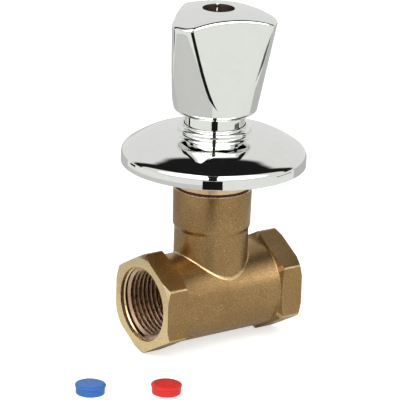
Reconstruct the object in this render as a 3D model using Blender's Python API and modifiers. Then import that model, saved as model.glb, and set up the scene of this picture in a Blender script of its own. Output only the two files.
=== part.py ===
"""Concealed stop valve, 3/4 inch, with rosette and three-sided handle.

Units are metres, +Z is up the stem. The origin is where the axis of the two
ports meets the axis of the stem. The inlet is at -X and the outlet at +X.
The valve is modelled closed.
"""

import math

import bmesh
import bpy
from mathutils import Matrix, Vector

# Clearances between pieces
FIT_GAP = 0.0003            # general clearance between pieces that touch
FACE_GAP = 0.0001           # between flat faces that are clamped together

# Valve body
PORT_THREAD_RADIUS = 0.01322    # major radius of the G 3/4 thread
PORT_THREAD_DEPTH = 0.0155
PORT_LEAD_IN = 0.0018           # smooth counterbore before the thread
PORT_LEAD_IN_WIDTH = 0.0004     # how far the counterbore stands outside the thread
BODY_LENGTH = 0.0590
HEX_ACROSS_FLATS = 0.0330
HEX_LENGTH = 0.0085
HEX_CHAMFER = 0.0018            # radial width of the chamfer on each port
BARREL_RADIUS = 0.0160
NECK_LOWER_RADIUS = 0.0134
NECK_UPPER_RADIUS = 0.0142
NECK_STEP_HEIGHT = 0.0248
NECK_STEP_RISE = 0.0013
NECK_TOP = 0.0400
NECK_EDGE = 0.0005
WATERWAY_RADIUS = 0.0100
LOWER_CHAMBER_RADIUS = 0.0126
LOWER_CHAMBER_END = 0.0085      # how far the lower chamber runs past the stem
UPPER_CHAMBER_RADIUS = 0.0108
BRIDGE_BOTTOM = -0.0010
BRIDGE_TOP = 0.0022
PARTITION_WALL = 0.0025
SEAT_RADIUS = 0.0075
SEAT_RING_WIDTH = 0.0017
SEAT_RING_HEIGHT = 0.0012
NECK_THREAD_RADIUS = 0.0116
NECK_THREAD_DEPTH = 0.0150
NECK_FILLET = 0.0010

# Headwork
GASKET_THICKNESS = 0.0005
GASKET_EDGE_INSET = 0.0005      # how far the gasket stays inside the neck's edge
COLLAR_RADIUS = 0.0137
COLLAR_HEIGHT = 0.0052
WRENCH_ACROSS_FLATS = 0.0220
WRENCH_HEIGHT = 0.0060
SLEEVE_THREAD_HEIGHT = 0.0075
BONNET_TOP_RADIUS = 0.0082
BONNET_TOP_HEIGHT = 0.0030
GUIDE_LENGTH = 0.0112
PLUNGER_TRAVEL = 0.00525
TRAVEL_TURNS = 3.0
GREASE_CHAMBER_RADIUS = 0.0083
THRUST_POCKET_HEIGHT = 0.0050

# Spindle
SPINDLE_RADIUS = 0.0040
SPINDLE_THREAD_LENGTH = 0.0260
FLANGE_RADIUS = 0.0062
FLANGE_HEIGHT = 0.0034
THRUST_WASHER_THICKNESS = 0.0008
O_RING_SECTION = 0.0015
O_RING_PITCH = 0.0040           # between the two stem seals
CLIP_THICKNESS = 0.0006
CLIP_RADIUS = 0.0056
CLIP_GROOVE_DEPTH = 0.0009
SPLINE_TEETH = 20
SPLINE_DEPTH = 0.0003
SPLINE_LENGTH = 0.0120

# Plunger and washer
PLUNGER_ACROSS_FLATS = 0.0154
PLUNGER_PLATE_RADIUS = 0.0093
PLUNGER_PLATE_THICKNESS = 0.0020
PLUNGER_HEX_HEIGHT = 0.0100
PLUNGER_ROUND_RADIUS = 0.0074
PLUNGER_ROUND_HEIGHT = 0.0125
PLUNGER_O_RING_SECTION = 0.0019
WASHER_RADIUS = 0.0088
WASHER_THICKNESS = 0.0022
WASHER_SCREW_RADIUS = 0.0019
WASHER_SCREW_HEAD_RADIUS = 0.0034
WASHER_SCREW_HEAD_HEIGHT = 0.0012
WASHER_SCREW_LENGTH = 0.0045

# Sleeve
SLEEVE_RADIUS = 0.0108
SLEEVE_WALL = 0.0009
SLEEVE_LENGTH = 0.0225

# Rosette
ROSETTE_RADIUS = 0.0333
ROSETTE_BASE = 0.0490           # height of the rim's lower edge
ROSETTE_BAND = 0.0033           # straight edge of the rim
ROSETTE_WALL = 0.0009
ROSETTE_PLATEAU = 0.0108        # height of the flat top above the rim's lower edge
ROSETTE_SLOPE = 31.0            # steepest part of the dome, degrees
ROSETTE_BEND = 0.0035           # length over which the flat top turns into the slope
ROSETTE_SHOULDER = 0.0021       # radius between the slope and the rim
BEAD_RADIUS = 0.00125
BEAD_OUTER = 0.01355
ROSETTE_LIP_HEIGHT = 0.0013     # plain lip above the bead
ROSETTE_LIP = 0.0004            # wall of that lip
ROSETTE_RING_SECTION = 0.0012

# Handle
HANDLE_BASE = 0.0680
HANDLE_HEIGHT = 0.0380
HANDLE_BASE_RADIUS = 0.01477
HANDLE_TAPER = 0.189            # growth of the radius for each unit of height
HANDLE_FLAT_DISTANCE = 0.01522  # from the stem to each of the three flats, at the base
HANDLE_FLAT_LEAN = 0.029        # how far the flats lean in for each unit of height
HANDLE_CREASE_RADIUS = 0.0055   # rounding between a flat and a rib
HANDLE_CORNER_ANGLE = -45.0     # direction of the first corner, degrees from +X
HANDLE_CROWN_RADIUS = 0.0340
HANDLE_CROWN_LAND = 0.0055
HANDLE_TOP_EDGE = 0.0009
HANDLE_BASE_EDGE = 0.0019
HANDLE_SKIRT_DEPTH = 0.0120
HANDLE_HUB_DEPTH = 0.0080       # free length of the hub above the skirt's straight bore
HUB_WALL = 0.0022
CAP_HOLE_RADIUS = 0.00564
CAP_HOLE_DEPTH = 0.0055
HUB_WEB = 0.0024
CAP_NOTCH_ANGLE = 58.0
CAP_NOTCH_WIDTH = 0.0012
CAP_NOTCH_DEPTH = 0.0005
INSERT_RADIUS = 0.0058
INSERT_WEB = 0.0011
HANDLE_SCREW_RADIUS = 0.00195
HANDLE_SCREW_LENGTH = 0.0120
HANDLE_SCREW_HEAD_RADIUS = 0.0044
HANDLE_SCREW_HEAD_HEIGHT = 0.0024
SCREW_SLOT_WIDTH = 0.0011

# Index caps
CAP_RADIUS = 0.00545
CAP_HEIGHT = 0.0036
CAP_RIM = 0.0009                # height of the wider top disc
CAP_SKIRT_INSET = 0.0003
CAP_WALL = 0.0008
COLD_CAP_PLACE = (-0.0653, -0.0217)
HOT_CAP_PLACE = (-0.0424, -0.0352)

# Facets on round pieces
FINE_STEPS = 64
MEDIUM_STEPS = 40
SMALL_STEPS = 24
CREASE_STEPS = 4
SIDE_STEPS = 8
SIDE_SPACING = 1.6              # rings lie closer together near the handle's base

# Places that follow from the sizes above
HEX_CORNER_RADIUS = HEX_ACROSS_FLATS / 2 / math.cos(math.radians(30))
SEAT_TOP = BRIDGE_TOP + SEAT_RING_HEIGHT
WASHER_BOTTOM = SEAT_TOP + FIT_GAP
PLATE_BOTTOM = WASHER_BOTTOM + WASHER_THICKNESS + FIT_GAP
GASKET_BOTTOM = NECK_TOP + FACE_GAP
COLLAR_BOTTOM = GASKET_BOTTOM + GASKET_THICKNESS + FACE_GAP
COLLAR_TOP = COLLAR_BOTTOM + COLLAR_HEIGHT
WRENCH_TOP = COLLAR_TOP + WRENCH_HEIGHT
SLEEVE_BOTTOM = WRENCH_TOP + FIT_GAP
SLEEVE_BORE = SLEEVE_RADIUS - SLEEVE_WALL
SLEEVE_THREAD_RADIUS = SLEEVE_BORE - FIT_GAP
BONNET_NECK_BOTTOM = WRENCH_TOP + SLEEVE_THREAD_HEIGHT
BONNET_TOP = BONNET_NECK_BOTTOM + BONNET_TOP_HEIGHT
NECK_THREAD_BOTTOM = NECK_TOP - NECK_THREAD_DEPTH
BONNET_THREAD_RADIUS = NECK_THREAD_RADIUS - FIT_GAP
BONNET_THREAD_BOTTOM = NECK_THREAD_BOTTOM + 2 * FIT_GAP
GUIDE_RADIUS = UPPER_CHAMBER_RADIUS - FIT_GAP
GUIDE_BOTTOM = BONNET_THREAD_BOTTOM - GUIDE_LENGTH
GUIDE_ACROSS_FLATS = PLUNGER_ACROSS_FLATS + 2 * FIT_GAP
THRUST_POCKET_RADIUS = FLANGE_RADIUS + FIT_GAP
THRUST_SHOULDER = BONNET_TOP - 3 * O_RING_PITCH - FIT_GAP
GREASE_CHAMBER_TOP = THRUST_SHOULDER - THRUST_POCKET_HEIGHT
STEM_BORE_RADIUS = SPINDLE_RADIUS + FIT_GAP
WASHER_RING_TOP = THRUST_SHOULDER - FIT_GAP
FLANGE_TOP = WASHER_RING_TOP - THRUST_WASHER_THICKNESS - FIT_GAP
FLANGE_BOTTOM = FLANGE_TOP - FLANGE_HEIGHT
SPINDLE_BOTTOM = FLANGE_BOTTOM - SPINDLE_THREAD_LENGTH
HANDLE_TOP = HANDLE_BASE + HANDLE_HEIGHT
WEB_TOP = HANDLE_TOP - CAP_HOLE_DEPTH
WEB_BOTTOM = WEB_TOP - HUB_WEB
INSERT_TOP = WEB_BOTTOM - FIT_GAP
SPINDLE_TOP = INSERT_TOP - INSERT_WEB - FIT_GAP
SPLINE_BOTTOM = SPINDLE_TOP - SPLINE_LENGTH
INSERT_BOTTOM = SPLINE_BOTTOM
SKIRT_TOP = HANDLE_BASE + HANDLE_SKIRT_DEPTH
CLIP_BOTTOM = BONNET_TOP + FIT_GAP
PLUNGER_HEX_BOTTOM = PLATE_BOTTOM + PLUNGER_PLATE_THICKNESS
PLUNGER_ROUND_BOTTOM = PLUNGER_HEX_BOTTOM + PLUNGER_HEX_HEIGHT
GUIDE_TOP = PLUNGER_ROUND_BOTTOM + PLUNGER_TRAVEL + 2 * FIT_GAP
PLUNGER_TOP = PLUNGER_ROUND_BOTTOM + PLUNGER_ROUND_HEIGHT
PLUNGER_BORE_BOTTOM = SPINDLE_BOTTOM - PLUNGER_TRAVEL - 2 * FIT_GAP
ROSETTE_BORE = SLEEVE_RADIUS + FIT_GAP
PLATEAU_HEIGHT = ROSETTE_BASE + ROSETTE_PLATEAU
BEAD_HEIGHT = PLATEAU_HEIGHT + BEAD_RADIUS
ROSETTE_TOP = BEAD_HEIGHT + BEAD_RADIUS + ROSETTE_LIP_HEIGHT
FLOOR_HEIGHT = -HEX_CORNER_RADIUS

parts = bpy.data.collections.new("concealed_stop_valve")
cutters = bpy.data.collections.new("cutters")


def start_clean():
    """Remove what the scene holds and link the two collections."""
    for old in list(bpy.data.objects):
        bpy.data.objects.remove(old)
    bpy.context.scene.collection.children.link(parts)
    bpy.context.scene.collection.children.link(cutters)


def material(name, colour, roughness, metallic):
    """Return a Principled material."""
    made = bpy.data.materials.new(name)
    made.use_nodes = True
    shader = made.node_tree.nodes["Principled BSDF"]
    shader.inputs["Base Color"].default_value = (*colour, 1.0)
    shader.inputs["Roughness"].default_value = roughness
    shader.inputs["Metallic"].default_value = metallic
    return made


def add_object(name, mesh, finish, place=(0.0, 0.0, 0.0), turn=(0.0, 0.0, 0.0)):
    """Add a mesh as a part, or as a hidden cutter where it has no finish."""
    item = bpy.data.objects.new(name, mesh)
    item.location = place
    item.rotation_euler = turn
    if finish:
        mesh.materials.append(finish)
        parts.objects.link(item)
    else:
        cutters.objects.link(item)
        item.hide_render = True
        item.display_type = "WIRE"
    return item


def arc(centre_r, centre_z, radius, start, end, count):
    """Points along an arc from one angle to another, in degrees."""
    points = []
    for index in range(count + 1):
        angle = math.radians(start + (end - start) * index / count)
        points.append((centre_r + radius * math.cos(angle), centre_z + radius * math.sin(angle)))
    return points


def smooth_by_angle(item, angle=28):
    """Shade round faces smooth and keep the edges sharp."""
    item.data.shade_smooth()
    item.data.set_sharp_from_angle(angle=math.radians(angle))


def turned(name, profile, finish, place=(0.0, 0.0, 0.0), turn=(0.0, 0.0, 0.0), steps=MEDIUM_STEPS):
    """Turn a profile of (radius, height) points about Z with a Screw modifier.

    The profile runs down the outer side, and a ring's profile then comes back
    up its bore. A profile that starts and ends on the axis stays open.
    """
    solid = profile[0][0] == 0.0 and profile[-1][0] == 0.0
    count = len(profile)
    edges = [(index, index + 1) for index in range(count - 1)]
    if not solid:
        edges.append((count - 1, 0))
    mesh = bpy.data.meshes.new(name)
    mesh.from_pydata([(radius, 0.0, height) for radius, height in profile], edges, [])
    item = add_object(name, mesh, finish, place, turn)
    screw = item.modifiers.new("turn", "SCREW")
    screw.steps = steps
    screw.render_steps = steps
    screw.use_merge_vertices = True
    screw.merge_threshold = 0.000001
    return item


def settle(item):
    """Apply an object's modifiers, so that its mesh is the finished shape."""
    view = bpy.context.evaluated_depsgraph_get()
    mesh = bpy.data.meshes.new_from_object(item.evaluated_get(view))
    item.modifiers.clear()
    item.data = mesh
    return item


def prism(name, sides, across_flats, bottom, height, finish=None, turn_angle=0.0, place=(0.0, 0.0, 0.0)):
    """A regular prism standing on Z, with a flat facing turn_angle."""
    mesh = bpy.data.meshes.new(name)
    shape = bmesh.new()
    corner = across_flats / 2 / math.cos(math.pi / sides)
    bmesh.ops.create_cone(
        shape, cap_ends=True, segments=sides, radius1=corner, radius2=corner, depth=height)
    bmesh.ops.translate(shape, verts=shape.verts, vec=(0.0, 0.0, bottom + height / 2))
    shape.to_mesh(mesh)
    shape.free()
    item = add_object(name, mesh, finish, place)
    item.rotation_euler = (0.0, 0.0, math.radians(turn_angle))
    return item


def flat_sides(name, across_flats, bottom, top):
    """What lies outside a hexagon between two heights, used to cut flats."""
    outer = across_flats
    blank = turned(
        name + "_blank", plain_ring(across_flats / 4, outer, top - bottom), None,
        (0.0, 0.0, bottom), steps=SMALL_STEPS)
    flats = prism(name + "_flats", 6, across_flats, bottom - 0.001, top - bottom + 0.002)
    combine(blank, "DIFFERENCE", flats)
    return blank


def box(name, low, high):
    """A block between two corners, used as a cutter."""
    mesh = bpy.data.meshes.new(name)
    shape = bmesh.new()
    bmesh.ops.create_cube(shape, size=1.0)
    size = Vector(high) - Vector(low)
    bmesh.ops.scale(shape, verts=shape.verts, vec=size)
    bmesh.ops.translate(shape, verts=shape.verts, vec=(Vector(high) + Vector(low)) / 2)
    shape.to_mesh(mesh)
    shape.free()
    return add_object(name, mesh, None)


def combine(item, operation, other):
    """Add an exact Boolean with another object."""
    step = item.modifiers.new(operation.lower() + "_" + other.name, "BOOLEAN")
    step.operation = operation
    step.object = other
    step.solver = "EXACT"
    return step


def cut(item, *others):
    """Cut other objects out of an item."""
    for other in others:
        combine(item, "DIFFERENCE", other)


def plain_ring(inner, outer, height, edge=0.0):
    """Profile of a ring that stands on its own base, with its outer edges chamfered."""
    if edge:
        outside = [
            (outer - edge, height), (outer, height - edge), (outer, edge), (outer - edge, 0.0)]
    else:
        outside = [(outer, height), (outer, 0.0)]
    return outside + [(inner, 0.0), (inner, height)]


def torus(name, middle_radius, section, finish, height, steps=SMALL_STEPS, around=8):
    """An O-ring round the stem."""
    profile = arc(middle_radius, 0.0, section / 2, 90, -270, around)[:-1]
    return turned(name, profile, finish, (0.0, 0.0, height), steps=steps)


def port_cutter(side):
    """Threaded port, its lead-in and the waterway behind it, turned along X."""
    face = BODY_LENGTH / 2
    lead_in = PORT_THREAD_RADIUS + PORT_LEAD_IN_WIDTH
    inner_end = UPPER_CHAMBER_RADIUS + PARTITION_WALL
    relief = PORT_THREAD_RADIUS - WATERWAY_RADIUS
    thread_end = face - PORT_THREAD_DEPTH
    profile = [
        (0.0, face + 0.002),
        (lead_in, face + 0.002),
        (lead_in, face - PORT_LEAD_IN + PORT_LEAD_IN_WIDTH),
        (PORT_THREAD_RADIUS, face - PORT_LEAD_IN),
        (PORT_THREAD_RADIUS, thread_end),
        (WATERWAY_RADIUS, thread_end - relief / 3),
        (WATERWAY_RADIUS, inner_end),
        (0.0, inner_end),
    ]
    turn = (0.0, math.radians(90 * side), 0.0)
    return turned(f"port_cutter_{'outlet' if side > 0 else 'inlet'}", profile, None, turn=turn,
                  steps=FINE_STEPS)


def chamber_cutter(name, start, end, low, high):
    """Part of a round chamber along X, kept between two heights."""
    profile = [(0.0, end), (LOWER_CHAMBER_RADIUS, end), (LOWER_CHAMBER_RADIUS, start), (0.0, start)]
    item = turned(name, profile, None, turn=(0.0, math.radians(90), 0.0))
    reach = BODY_LENGTH
    combine(item, "INTERSECT", box(name + "_limit", (-reach, -reach, low), (reach, reach, high)))
    return item


def fillet_ring(item):
    """Round the line where the neck leaves the barrel."""
    shape = bmesh.new()
    shape.from_mesh(item.data)
    line = []
    for edge in shape.edges:
        ends = [vert.co for vert in edge.verts]
        on_neck = all(abs(math.hypot(co.x, co.y) - NECK_LOWER_RADIUS) < 0.0001 for co in ends)
        on_barrel = all(abs(math.hypot(co.y, co.z) - BARREL_RADIUS) < 0.0001 for co in ends)
        if on_neck and on_barrel and ends[0].z > 0 and ends[1].z > 0:
            line.append(edge)
    bmesh.ops.bevel(
        shape, geom=line, offset=NECK_FILLET, segments=3, profile=0.5, affect="EDGES",
        offset_type="OFFSET", clamp_overlap=True)
    bmesh.ops.remove_doubles(shape, verts=shape.verts, dist=0.00001)
    shape.to_mesh(item.data)
    shape.free()


def make_valve_body(finish):
    """Pressed brass body: two hexagonal ports, barrel, neck, bridge and seat."""
    face = BODY_LENGTH / 2
    hex_start = face - HEX_LENGTH
    chamfer_height = HEX_CHAMFER * math.tan(math.radians(30))
    wide = HEX_CORNER_RADIUS + FIT_GAP
    draft = (wide - BARREL_RADIUS) * 0.35
    half = [
        (HEX_CORNER_RADIUS - HEX_CHAMFER, face),
        (wide, face - chamfer_height * (wide - HEX_CORNER_RADIUS + HEX_CHAMFER) / HEX_CHAMFER),
        (wide, hex_start + draft / 2),
        (BARREL_RADIUS, hex_start - draft / 2),
    ]
    mirrored = [(radius, -height) for radius, height in reversed(half)]
    envelope = turned(
        "valve_body", [(0.0, face)] + half + mirrored + [(0.0, -face)], finish,
        turn=(0.0, math.radians(90), 0.0), steps=FINE_STEPS)
    bar = prism("hex_bar", 6, HEX_ACROSS_FLATS, -face - 0.001, BODY_LENGTH + 0.002)
    turn = Matrix.Rotation(math.radians(90), 4, "Y") @ Matrix.Rotation(math.radians(30), 4, "Z")
    bar.data.transform(turn)
    combine(envelope, "INTERSECT", bar)
    neck_profile = [
        (0.0, NECK_TOP),
        (NECK_UPPER_RADIUS - NECK_EDGE, NECK_TOP),
        (NECK_UPPER_RADIUS, NECK_TOP - NECK_EDGE),
        (NECK_UPPER_RADIUS - 0.0002, NECK_STEP_HEIGHT + NECK_STEP_RISE),
        (NECK_LOWER_RADIUS, NECK_STEP_HEIGHT),
        (NECK_LOWER_RADIUS, 0.0),
        (0.0, 0.0),
    ]
    neck = turned("neck", neck_profile, None, steps=FINE_STEPS)
    combine(envelope, "UNION", neck)
    body = settle(envelope)
    body.data.transform(Matrix.Rotation(math.radians(90), 4, "Y"))
    body.rotation_euler = (0.0, 0.0, 0.0)
    fillet_ring(body)
    wall = UPPER_CHAMBER_RADIUS + PARTITION_WALL
    stem_bore = [
        (0.0, NECK_TOP + 0.001),
        (NECK_THREAD_RADIUS + NECK_EDGE + 0.001, NECK_TOP + 0.001),
        (NECK_THREAD_RADIUS, NECK_TOP - NECK_EDGE),
        (NECK_THREAD_RADIUS, NECK_THREAD_BOTTOM),
        (UPPER_CHAMBER_RADIUS, NECK_THREAD_BOTTOM - 0.0005),
        (UPPER_CHAMBER_RADIUS, BRIDGE_TOP),
        (SEAT_RADIUS + SEAT_RING_WIDTH, BRIDGE_TOP),
        (SEAT_RADIUS + SEAT_RING_WIDTH - 0.0003, SEAT_TOP),
        (SEAT_RADIUS, SEAT_TOP),
        (SEAT_RADIUS, BRIDGE_BOTTOM - 0.001),
        (0.0, BRIDGE_BOTTOM - 0.001),
    ]
    cut(body, turned("stem_bore", stem_bore, None, steps=FINE_STEPS))
    cut(body, chamber_cutter("lower_chamber", -wall - 0.001, LOWER_CHAMBER_END,
                             -BARREL_RADIUS, BRIDGE_BOTTOM))
    cut(body, chamber_cutter("upper_chamber", 0.0, wall + 0.001, BRIDGE_TOP, BARREL_RADIUS))
    cut(body, port_cutter(-1), port_cutter(1))
    return settle(body)


def make_gasket(finish):
    """Fibre ring between the neck and the headwork."""
    outer = NECK_UPPER_RADIUS - GASKET_EDGE_INSET
    return turned(
        "bonnet_gasket", plain_ring(NECK_THREAD_RADIUS, outer, GASKET_THICKNESS), finish,
        (0.0, 0.0, GASKET_BOTTOM), steps=FINE_STEPS)


def make_bonnet(finish):
    """Headwork body: guide, neck thread, collar, wrench hexagon and sleeve thread."""
    base = COLLAR_BOTTOM
    undercut = BONNET_THREAD_RADIUS - 0.0006
    guide_bore = PLUNGER_ROUND_RADIUS + FIT_GAP
    wrench_corner = WRENCH_ACROSS_FLATS / 2 / math.cos(math.radians(30))
    profile = [
        (BONNET_TOP_RADIUS - 0.0005, BONNET_TOP),
        (BONNET_TOP_RADIUS, BONNET_TOP - 0.0005),
        (BONNET_TOP_RADIUS, BONNET_NECK_BOTTOM),
        (SLEEVE_THREAD_RADIUS, BONNET_NECK_BOTTOM - 0.0006),
        (SLEEVE_THREAD_RADIUS, WRENCH_TOP),
        (wrench_corner - 0.0015, WRENCH_TOP),
        (wrench_corner + 0.0002, WRENCH_TOP - 0.0010),
        (wrench_corner + 0.0002, COLLAR_TOP),
        (COLLAR_RADIUS - 0.0004, COLLAR_TOP),
        (COLLAR_RADIUS, COLLAR_TOP - 0.0004),
        (COLLAR_RADIUS, COLLAR_BOTTOM + 0.0002),
        (COLLAR_RADIUS - 0.0002, COLLAR_BOTTOM),
        (undercut, COLLAR_BOTTOM),
        (undercut, COLLAR_BOTTOM - 0.0015),
        (BONNET_THREAD_RADIUS, COLLAR_BOTTOM - 0.0021),
        (BONNET_THREAD_RADIUS, BONNET_THREAD_BOTTOM + 0.0006),
        (GUIDE_RADIUS, BONNET_THREAD_BOTTOM),
        (GUIDE_RADIUS, GUIDE_BOTTOM),
        (guide_bore, GUIDE_BOTTOM),
        (guide_bore, GUIDE_TOP - FIT_GAP),
        (GREASE_CHAMBER_RADIUS, GUIDE_TOP + FIT_GAP),
        (GREASE_CHAMBER_RADIUS, GREASE_CHAMBER_TOP),
        (THRUST_POCKET_RADIUS, GREASE_CHAMBER_TOP),
        (THRUST_POCKET_RADIUS, THRUST_SHOULDER),
        (STEM_BORE_RADIUS, THRUST_SHOULDER),
        (STEM_BORE_RADIUS, BONNET_TOP),
    ]
    local = [(radius, height - base) for radius, height in profile]
    bonnet = turned("bonnet", local, finish, (0.0, 0.0, base), steps=MEDIUM_STEPS)
    cut(bonnet, flat_sides("wrench", WRENCH_ACROSS_FLATS, COLLAR_TOP, WRENCH_TOP + 0.001))
    guide_height = GUIDE_TOP - GUIDE_BOTTOM + 0.001
    guide = prism("guide_bore", 6, GUIDE_ACROSS_FLATS, GUIDE_BOTTOM - 0.001, guide_height)
    cut(bonnet, guide)
    return settle(bonnet)


def make_spindle(finish):
    """Turned spindle with thread, flange, seal grooves, clip groove and splined end."""
    ring_heights = stem_seal_heights()
    groove = O_RING_SECTION + 2 * FACE_GAP
    floor = SPINDLE_RADIUS + FIT_GAP - O_RING_SECTION - 2 * FACE_GAP
    clip_floor = SPINDLE_RADIUS - CLIP_GROOVE_DEPTH
    root = SPINDLE_RADIUS - SPLINE_DEPTH
    clip_top = CLIP_BOTTOM + CLIP_THICKNESS + FACE_GAP
    clip_low = CLIP_BOTTOM - FACE_GAP
    profile = [
        (0.0, SPINDLE_TOP),
        (root - 0.0004, SPINDLE_TOP),
        (root, SPINDLE_TOP - 0.0004),
        (root, SPLINE_BOTTOM),
        (SPINDLE_RADIUS, SPLINE_BOTTOM - 0.0004),
        (SPINDLE_RADIUS, clip_top),
        (clip_floor, clip_top),
        (clip_floor, clip_low),
        (SPINDLE_RADIUS, clip_low),
    ]
    for height in reversed(ring_heights):
        profile += [
            (SPINDLE_RADIUS, height + groove / 2),
            (floor, height + groove / 2),
            (floor, height - groove / 2),
            (SPINDLE_RADIUS, height - groove / 2),
        ]
    profile += [
        (SPINDLE_RADIUS, FLANGE_TOP),
        (FLANGE_RADIUS, FLANGE_TOP),
        (FLANGE_RADIUS, FLANGE_BOTTOM),
        (SPINDLE_RADIUS, FLANGE_BOTTOM),
        (SPINDLE_RADIUS, SPINDLE_BOTTOM + 0.0006),
        (SPINDLE_RADIUS - 0.0006, SPINDLE_BOTTOM),
        (0.0, SPINDLE_BOTTOM),
    ]
    base = FLANGE_TOP
    local = [(radius, height - base) for radius, height in profile]
    spindle = turned("spindle", local, finish, (0.0, 0.0, base), steps=SMALL_STEPS)
    combine(spindle, "UNION", spline_blank())
    hole = [(0.0, 0.001), (HANDLE_SCREW_RADIUS + FIT_GAP, 0.001),
            (HANDLE_SCREW_RADIUS + FIT_GAP, -HANDLE_SCREW_LENGTH + 0.0005),
            (0.0, -HANDLE_SCREW_LENGTH - 0.0006)]
    cut(spindle, turned("spindle_screw_hole", hole, None, (0.0, 0.0, SPINDLE_TOP), steps=SMALL_STEPS))
    return settle(spindle)


def spline_blank():
    """Toothed sleeve of the spindle's upper end."""
    points = []
    for tooth in range(SPLINE_TEETH):
        for share, radius in ((0.0, SPINDLE_RADIUS), (0.30, SPINDLE_RADIUS),
                              (0.50, SPINDLE_RADIUS - SPLINE_DEPTH), (0.80, SPINDLE_RADIUS - SPLINE_DEPTH)):
            angle = 2 * math.pi * (tooth + share) / SPLINE_TEETH
            points.append((radius * math.cos(angle), radius * math.sin(angle)))
    return extruded("spline_blank", points, SPLINE_LENGTH - 0.0012, (0.0, 0.0, SPLINE_BOTTOM + 0.0006))


def extruded(name, outline, height, place, finish=None, turn=(0.0, 0.0, 0.0)):
    """Extrude a flat outline upwards from its place."""
    curve = bpy.data.curves.new(name, "CURVE")
    curve.dimensions = "2D"
    curve.fill_mode = "BOTH"
    curve.extrude = height / 2
    line = curve.splines.new("POLY")
    line.points.add(len(outline) - 1)
    for point, (x, y) in zip(line.points, outline):
        point.co = (x, y, 0.0, 1.0)
    line.use_cyclic_u = True
    drawn = bpy.data.objects.new(name + "_outline", curve)
    cutters.objects.link(drawn)
    view = bpy.context.evaluated_depsgraph_get()
    mesh = bpy.data.meshes.new_from_object(drawn.evaluated_get(view))
    bpy.data.objects.remove(drawn)
    shape = bmesh.new()
    shape.from_mesh(mesh)
    bmesh.ops.remove_doubles(shape, verts=shape.verts, dist=0.000001)
    bmesh.ops.translate(shape, verts=shape.verts, vec=(0.0, 0.0, height / 2))
    bmesh.ops.recalc_face_normals(shape, faces=shape.faces)
    shape.to_mesh(mesh)
    shape.free()
    mesh.materials.clear()
    return add_object(name, mesh, finish, place, turn)


def stem_seal_heights():
    """Middle heights of the two stem seals, the lower one first."""
    upper = BONNET_TOP - O_RING_PITCH
    return [upper - O_RING_PITCH, upper]


def make_stem_seals(finish):
    """The two O-rings between spindle and headwork."""
    middle = SPINDLE_RADIUS + FIT_GAP - FACE_GAP - O_RING_SECTION / 2
    rings = []
    for name, height in zip(("spindle_o_ring_lower", "spindle_o_ring_upper"), stem_seal_heights()):
        rings.append(torus(name, middle, O_RING_SECTION, finish, height))
    return rings


def make_thrust_washer(finish):
    """Slide ring between the spindle's flange and the headwork."""
    profile = plain_ring(SPINDLE_RADIUS + FIT_GAP, FLANGE_RADIUS, THRUST_WASHER_THICKNESS)
    place = (0.0, 0.0, FLANGE_TOP + FIT_GAP)
    return turned("spindle_thrust_washer", profile, finish, place, steps=SMALL_STEPS)


def make_clip(finish):
    """Open spring ring in the spindle's clip groove."""
    inner = SPINDLE_RADIUS - CLIP_GROOVE_DEPTH + FACE_GAP
    count = 28
    gap_angle = 38
    outer_line = arc(0.0, 0.0, CLIP_RADIUS, gap_angle, 360 - gap_angle, count)
    inner_line = arc(0.0, 0.0, inner, 360 - gap_angle, gap_angle, count)
    return extruded("spindle_clip", outer_line + inner_line, CLIP_THICKNESS,
                    (0.0, 0.0, CLIP_BOTTOM), finish)


def make_plunger(finish):
    """Hexagonal plunger with washer plate, driving thread bore and seal groove."""
    groove = PLUNGER_O_RING_SECTION + 2 * FACE_GAP
    seal = plunger_seal_height()
    floor = GREASE_CHAMBER_RADIUS - PLUNGER_O_RING_SECTION - 2 * FACE_GAP
    hex_corner = PLUNGER_ACROSS_FLATS / 2 / math.cos(math.radians(30))
    bore = SPINDLE_RADIUS + FIT_GAP
    base = PLATE_BOTTOM
    profile = [
        (bore + 0.0006, PLUNGER_TOP),
        (PLUNGER_ROUND_RADIUS - 0.0005, PLUNGER_TOP),
        (PLUNGER_ROUND_RADIUS, PLUNGER_TOP - 0.0005),
        (PLUNGER_ROUND_RADIUS, seal + groove / 2),
        (floor, seal + groove / 2),
        (floor, seal - groove / 2),
        (PLUNGER_ROUND_RADIUS, seal - groove / 2),
        (PLUNGER_ROUND_RADIUS, PLUNGER_ROUND_BOTTOM),
        (hex_corner + 0.0003, PLUNGER_ROUND_BOTTOM - 0.0005),
        (hex_corner + 0.0003, PLUNGER_HEX_BOTTOM),
        (PLUNGER_PLATE_RADIUS, PLUNGER_HEX_BOTTOM),
        (PLUNGER_PLATE_RADIUS, PLATE_BOTTOM),
        (WASHER_SCREW_RADIUS + FIT_GAP, PLATE_BOTTOM),
        (WASHER_SCREW_RADIUS + FIT_GAP, PLATE_BOTTOM + WASHER_SCREW_LENGTH - WASHER_THICKNESS + 2 * FIT_GAP),
        (0.0, PLATE_BOTTOM + WASHER_SCREW_LENGTH - WASHER_THICKNESS + 2 * FIT_GAP),
    ]
    outer = [(radius, height - base) for radius, height in profile]
    outer[0] = (0.0, PLUNGER_TOP - base)
    plunger = turned("plunger", outer, finish, (0.0, 0.0, base), steps=SMALL_STEPS)
    cut(plunger, flat_sides("plunger", PLUNGER_ACROSS_FLATS, PLUNGER_HEX_BOTTOM,
                            PLUNGER_ROUND_BOTTOM + 0.001))
    thread = [(0.0, PLUNGER_TOP + 0.001), (bore + 0.0014, PLUNGER_TOP + 0.001),
              (bore, PLUNGER_TOP - 0.0006), (bore, PLUNGER_BORE_BOTTOM), (0.0, PLUNGER_BORE_BOTTOM)]
    cut(plunger, turned("plunger_thread", thread, None, steps=SMALL_STEPS))
    return settle(plunger)


def plunger_seal_height():
    """Middle height of the plunger's seal."""
    return PLUNGER_TOP - 0.0036


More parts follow.
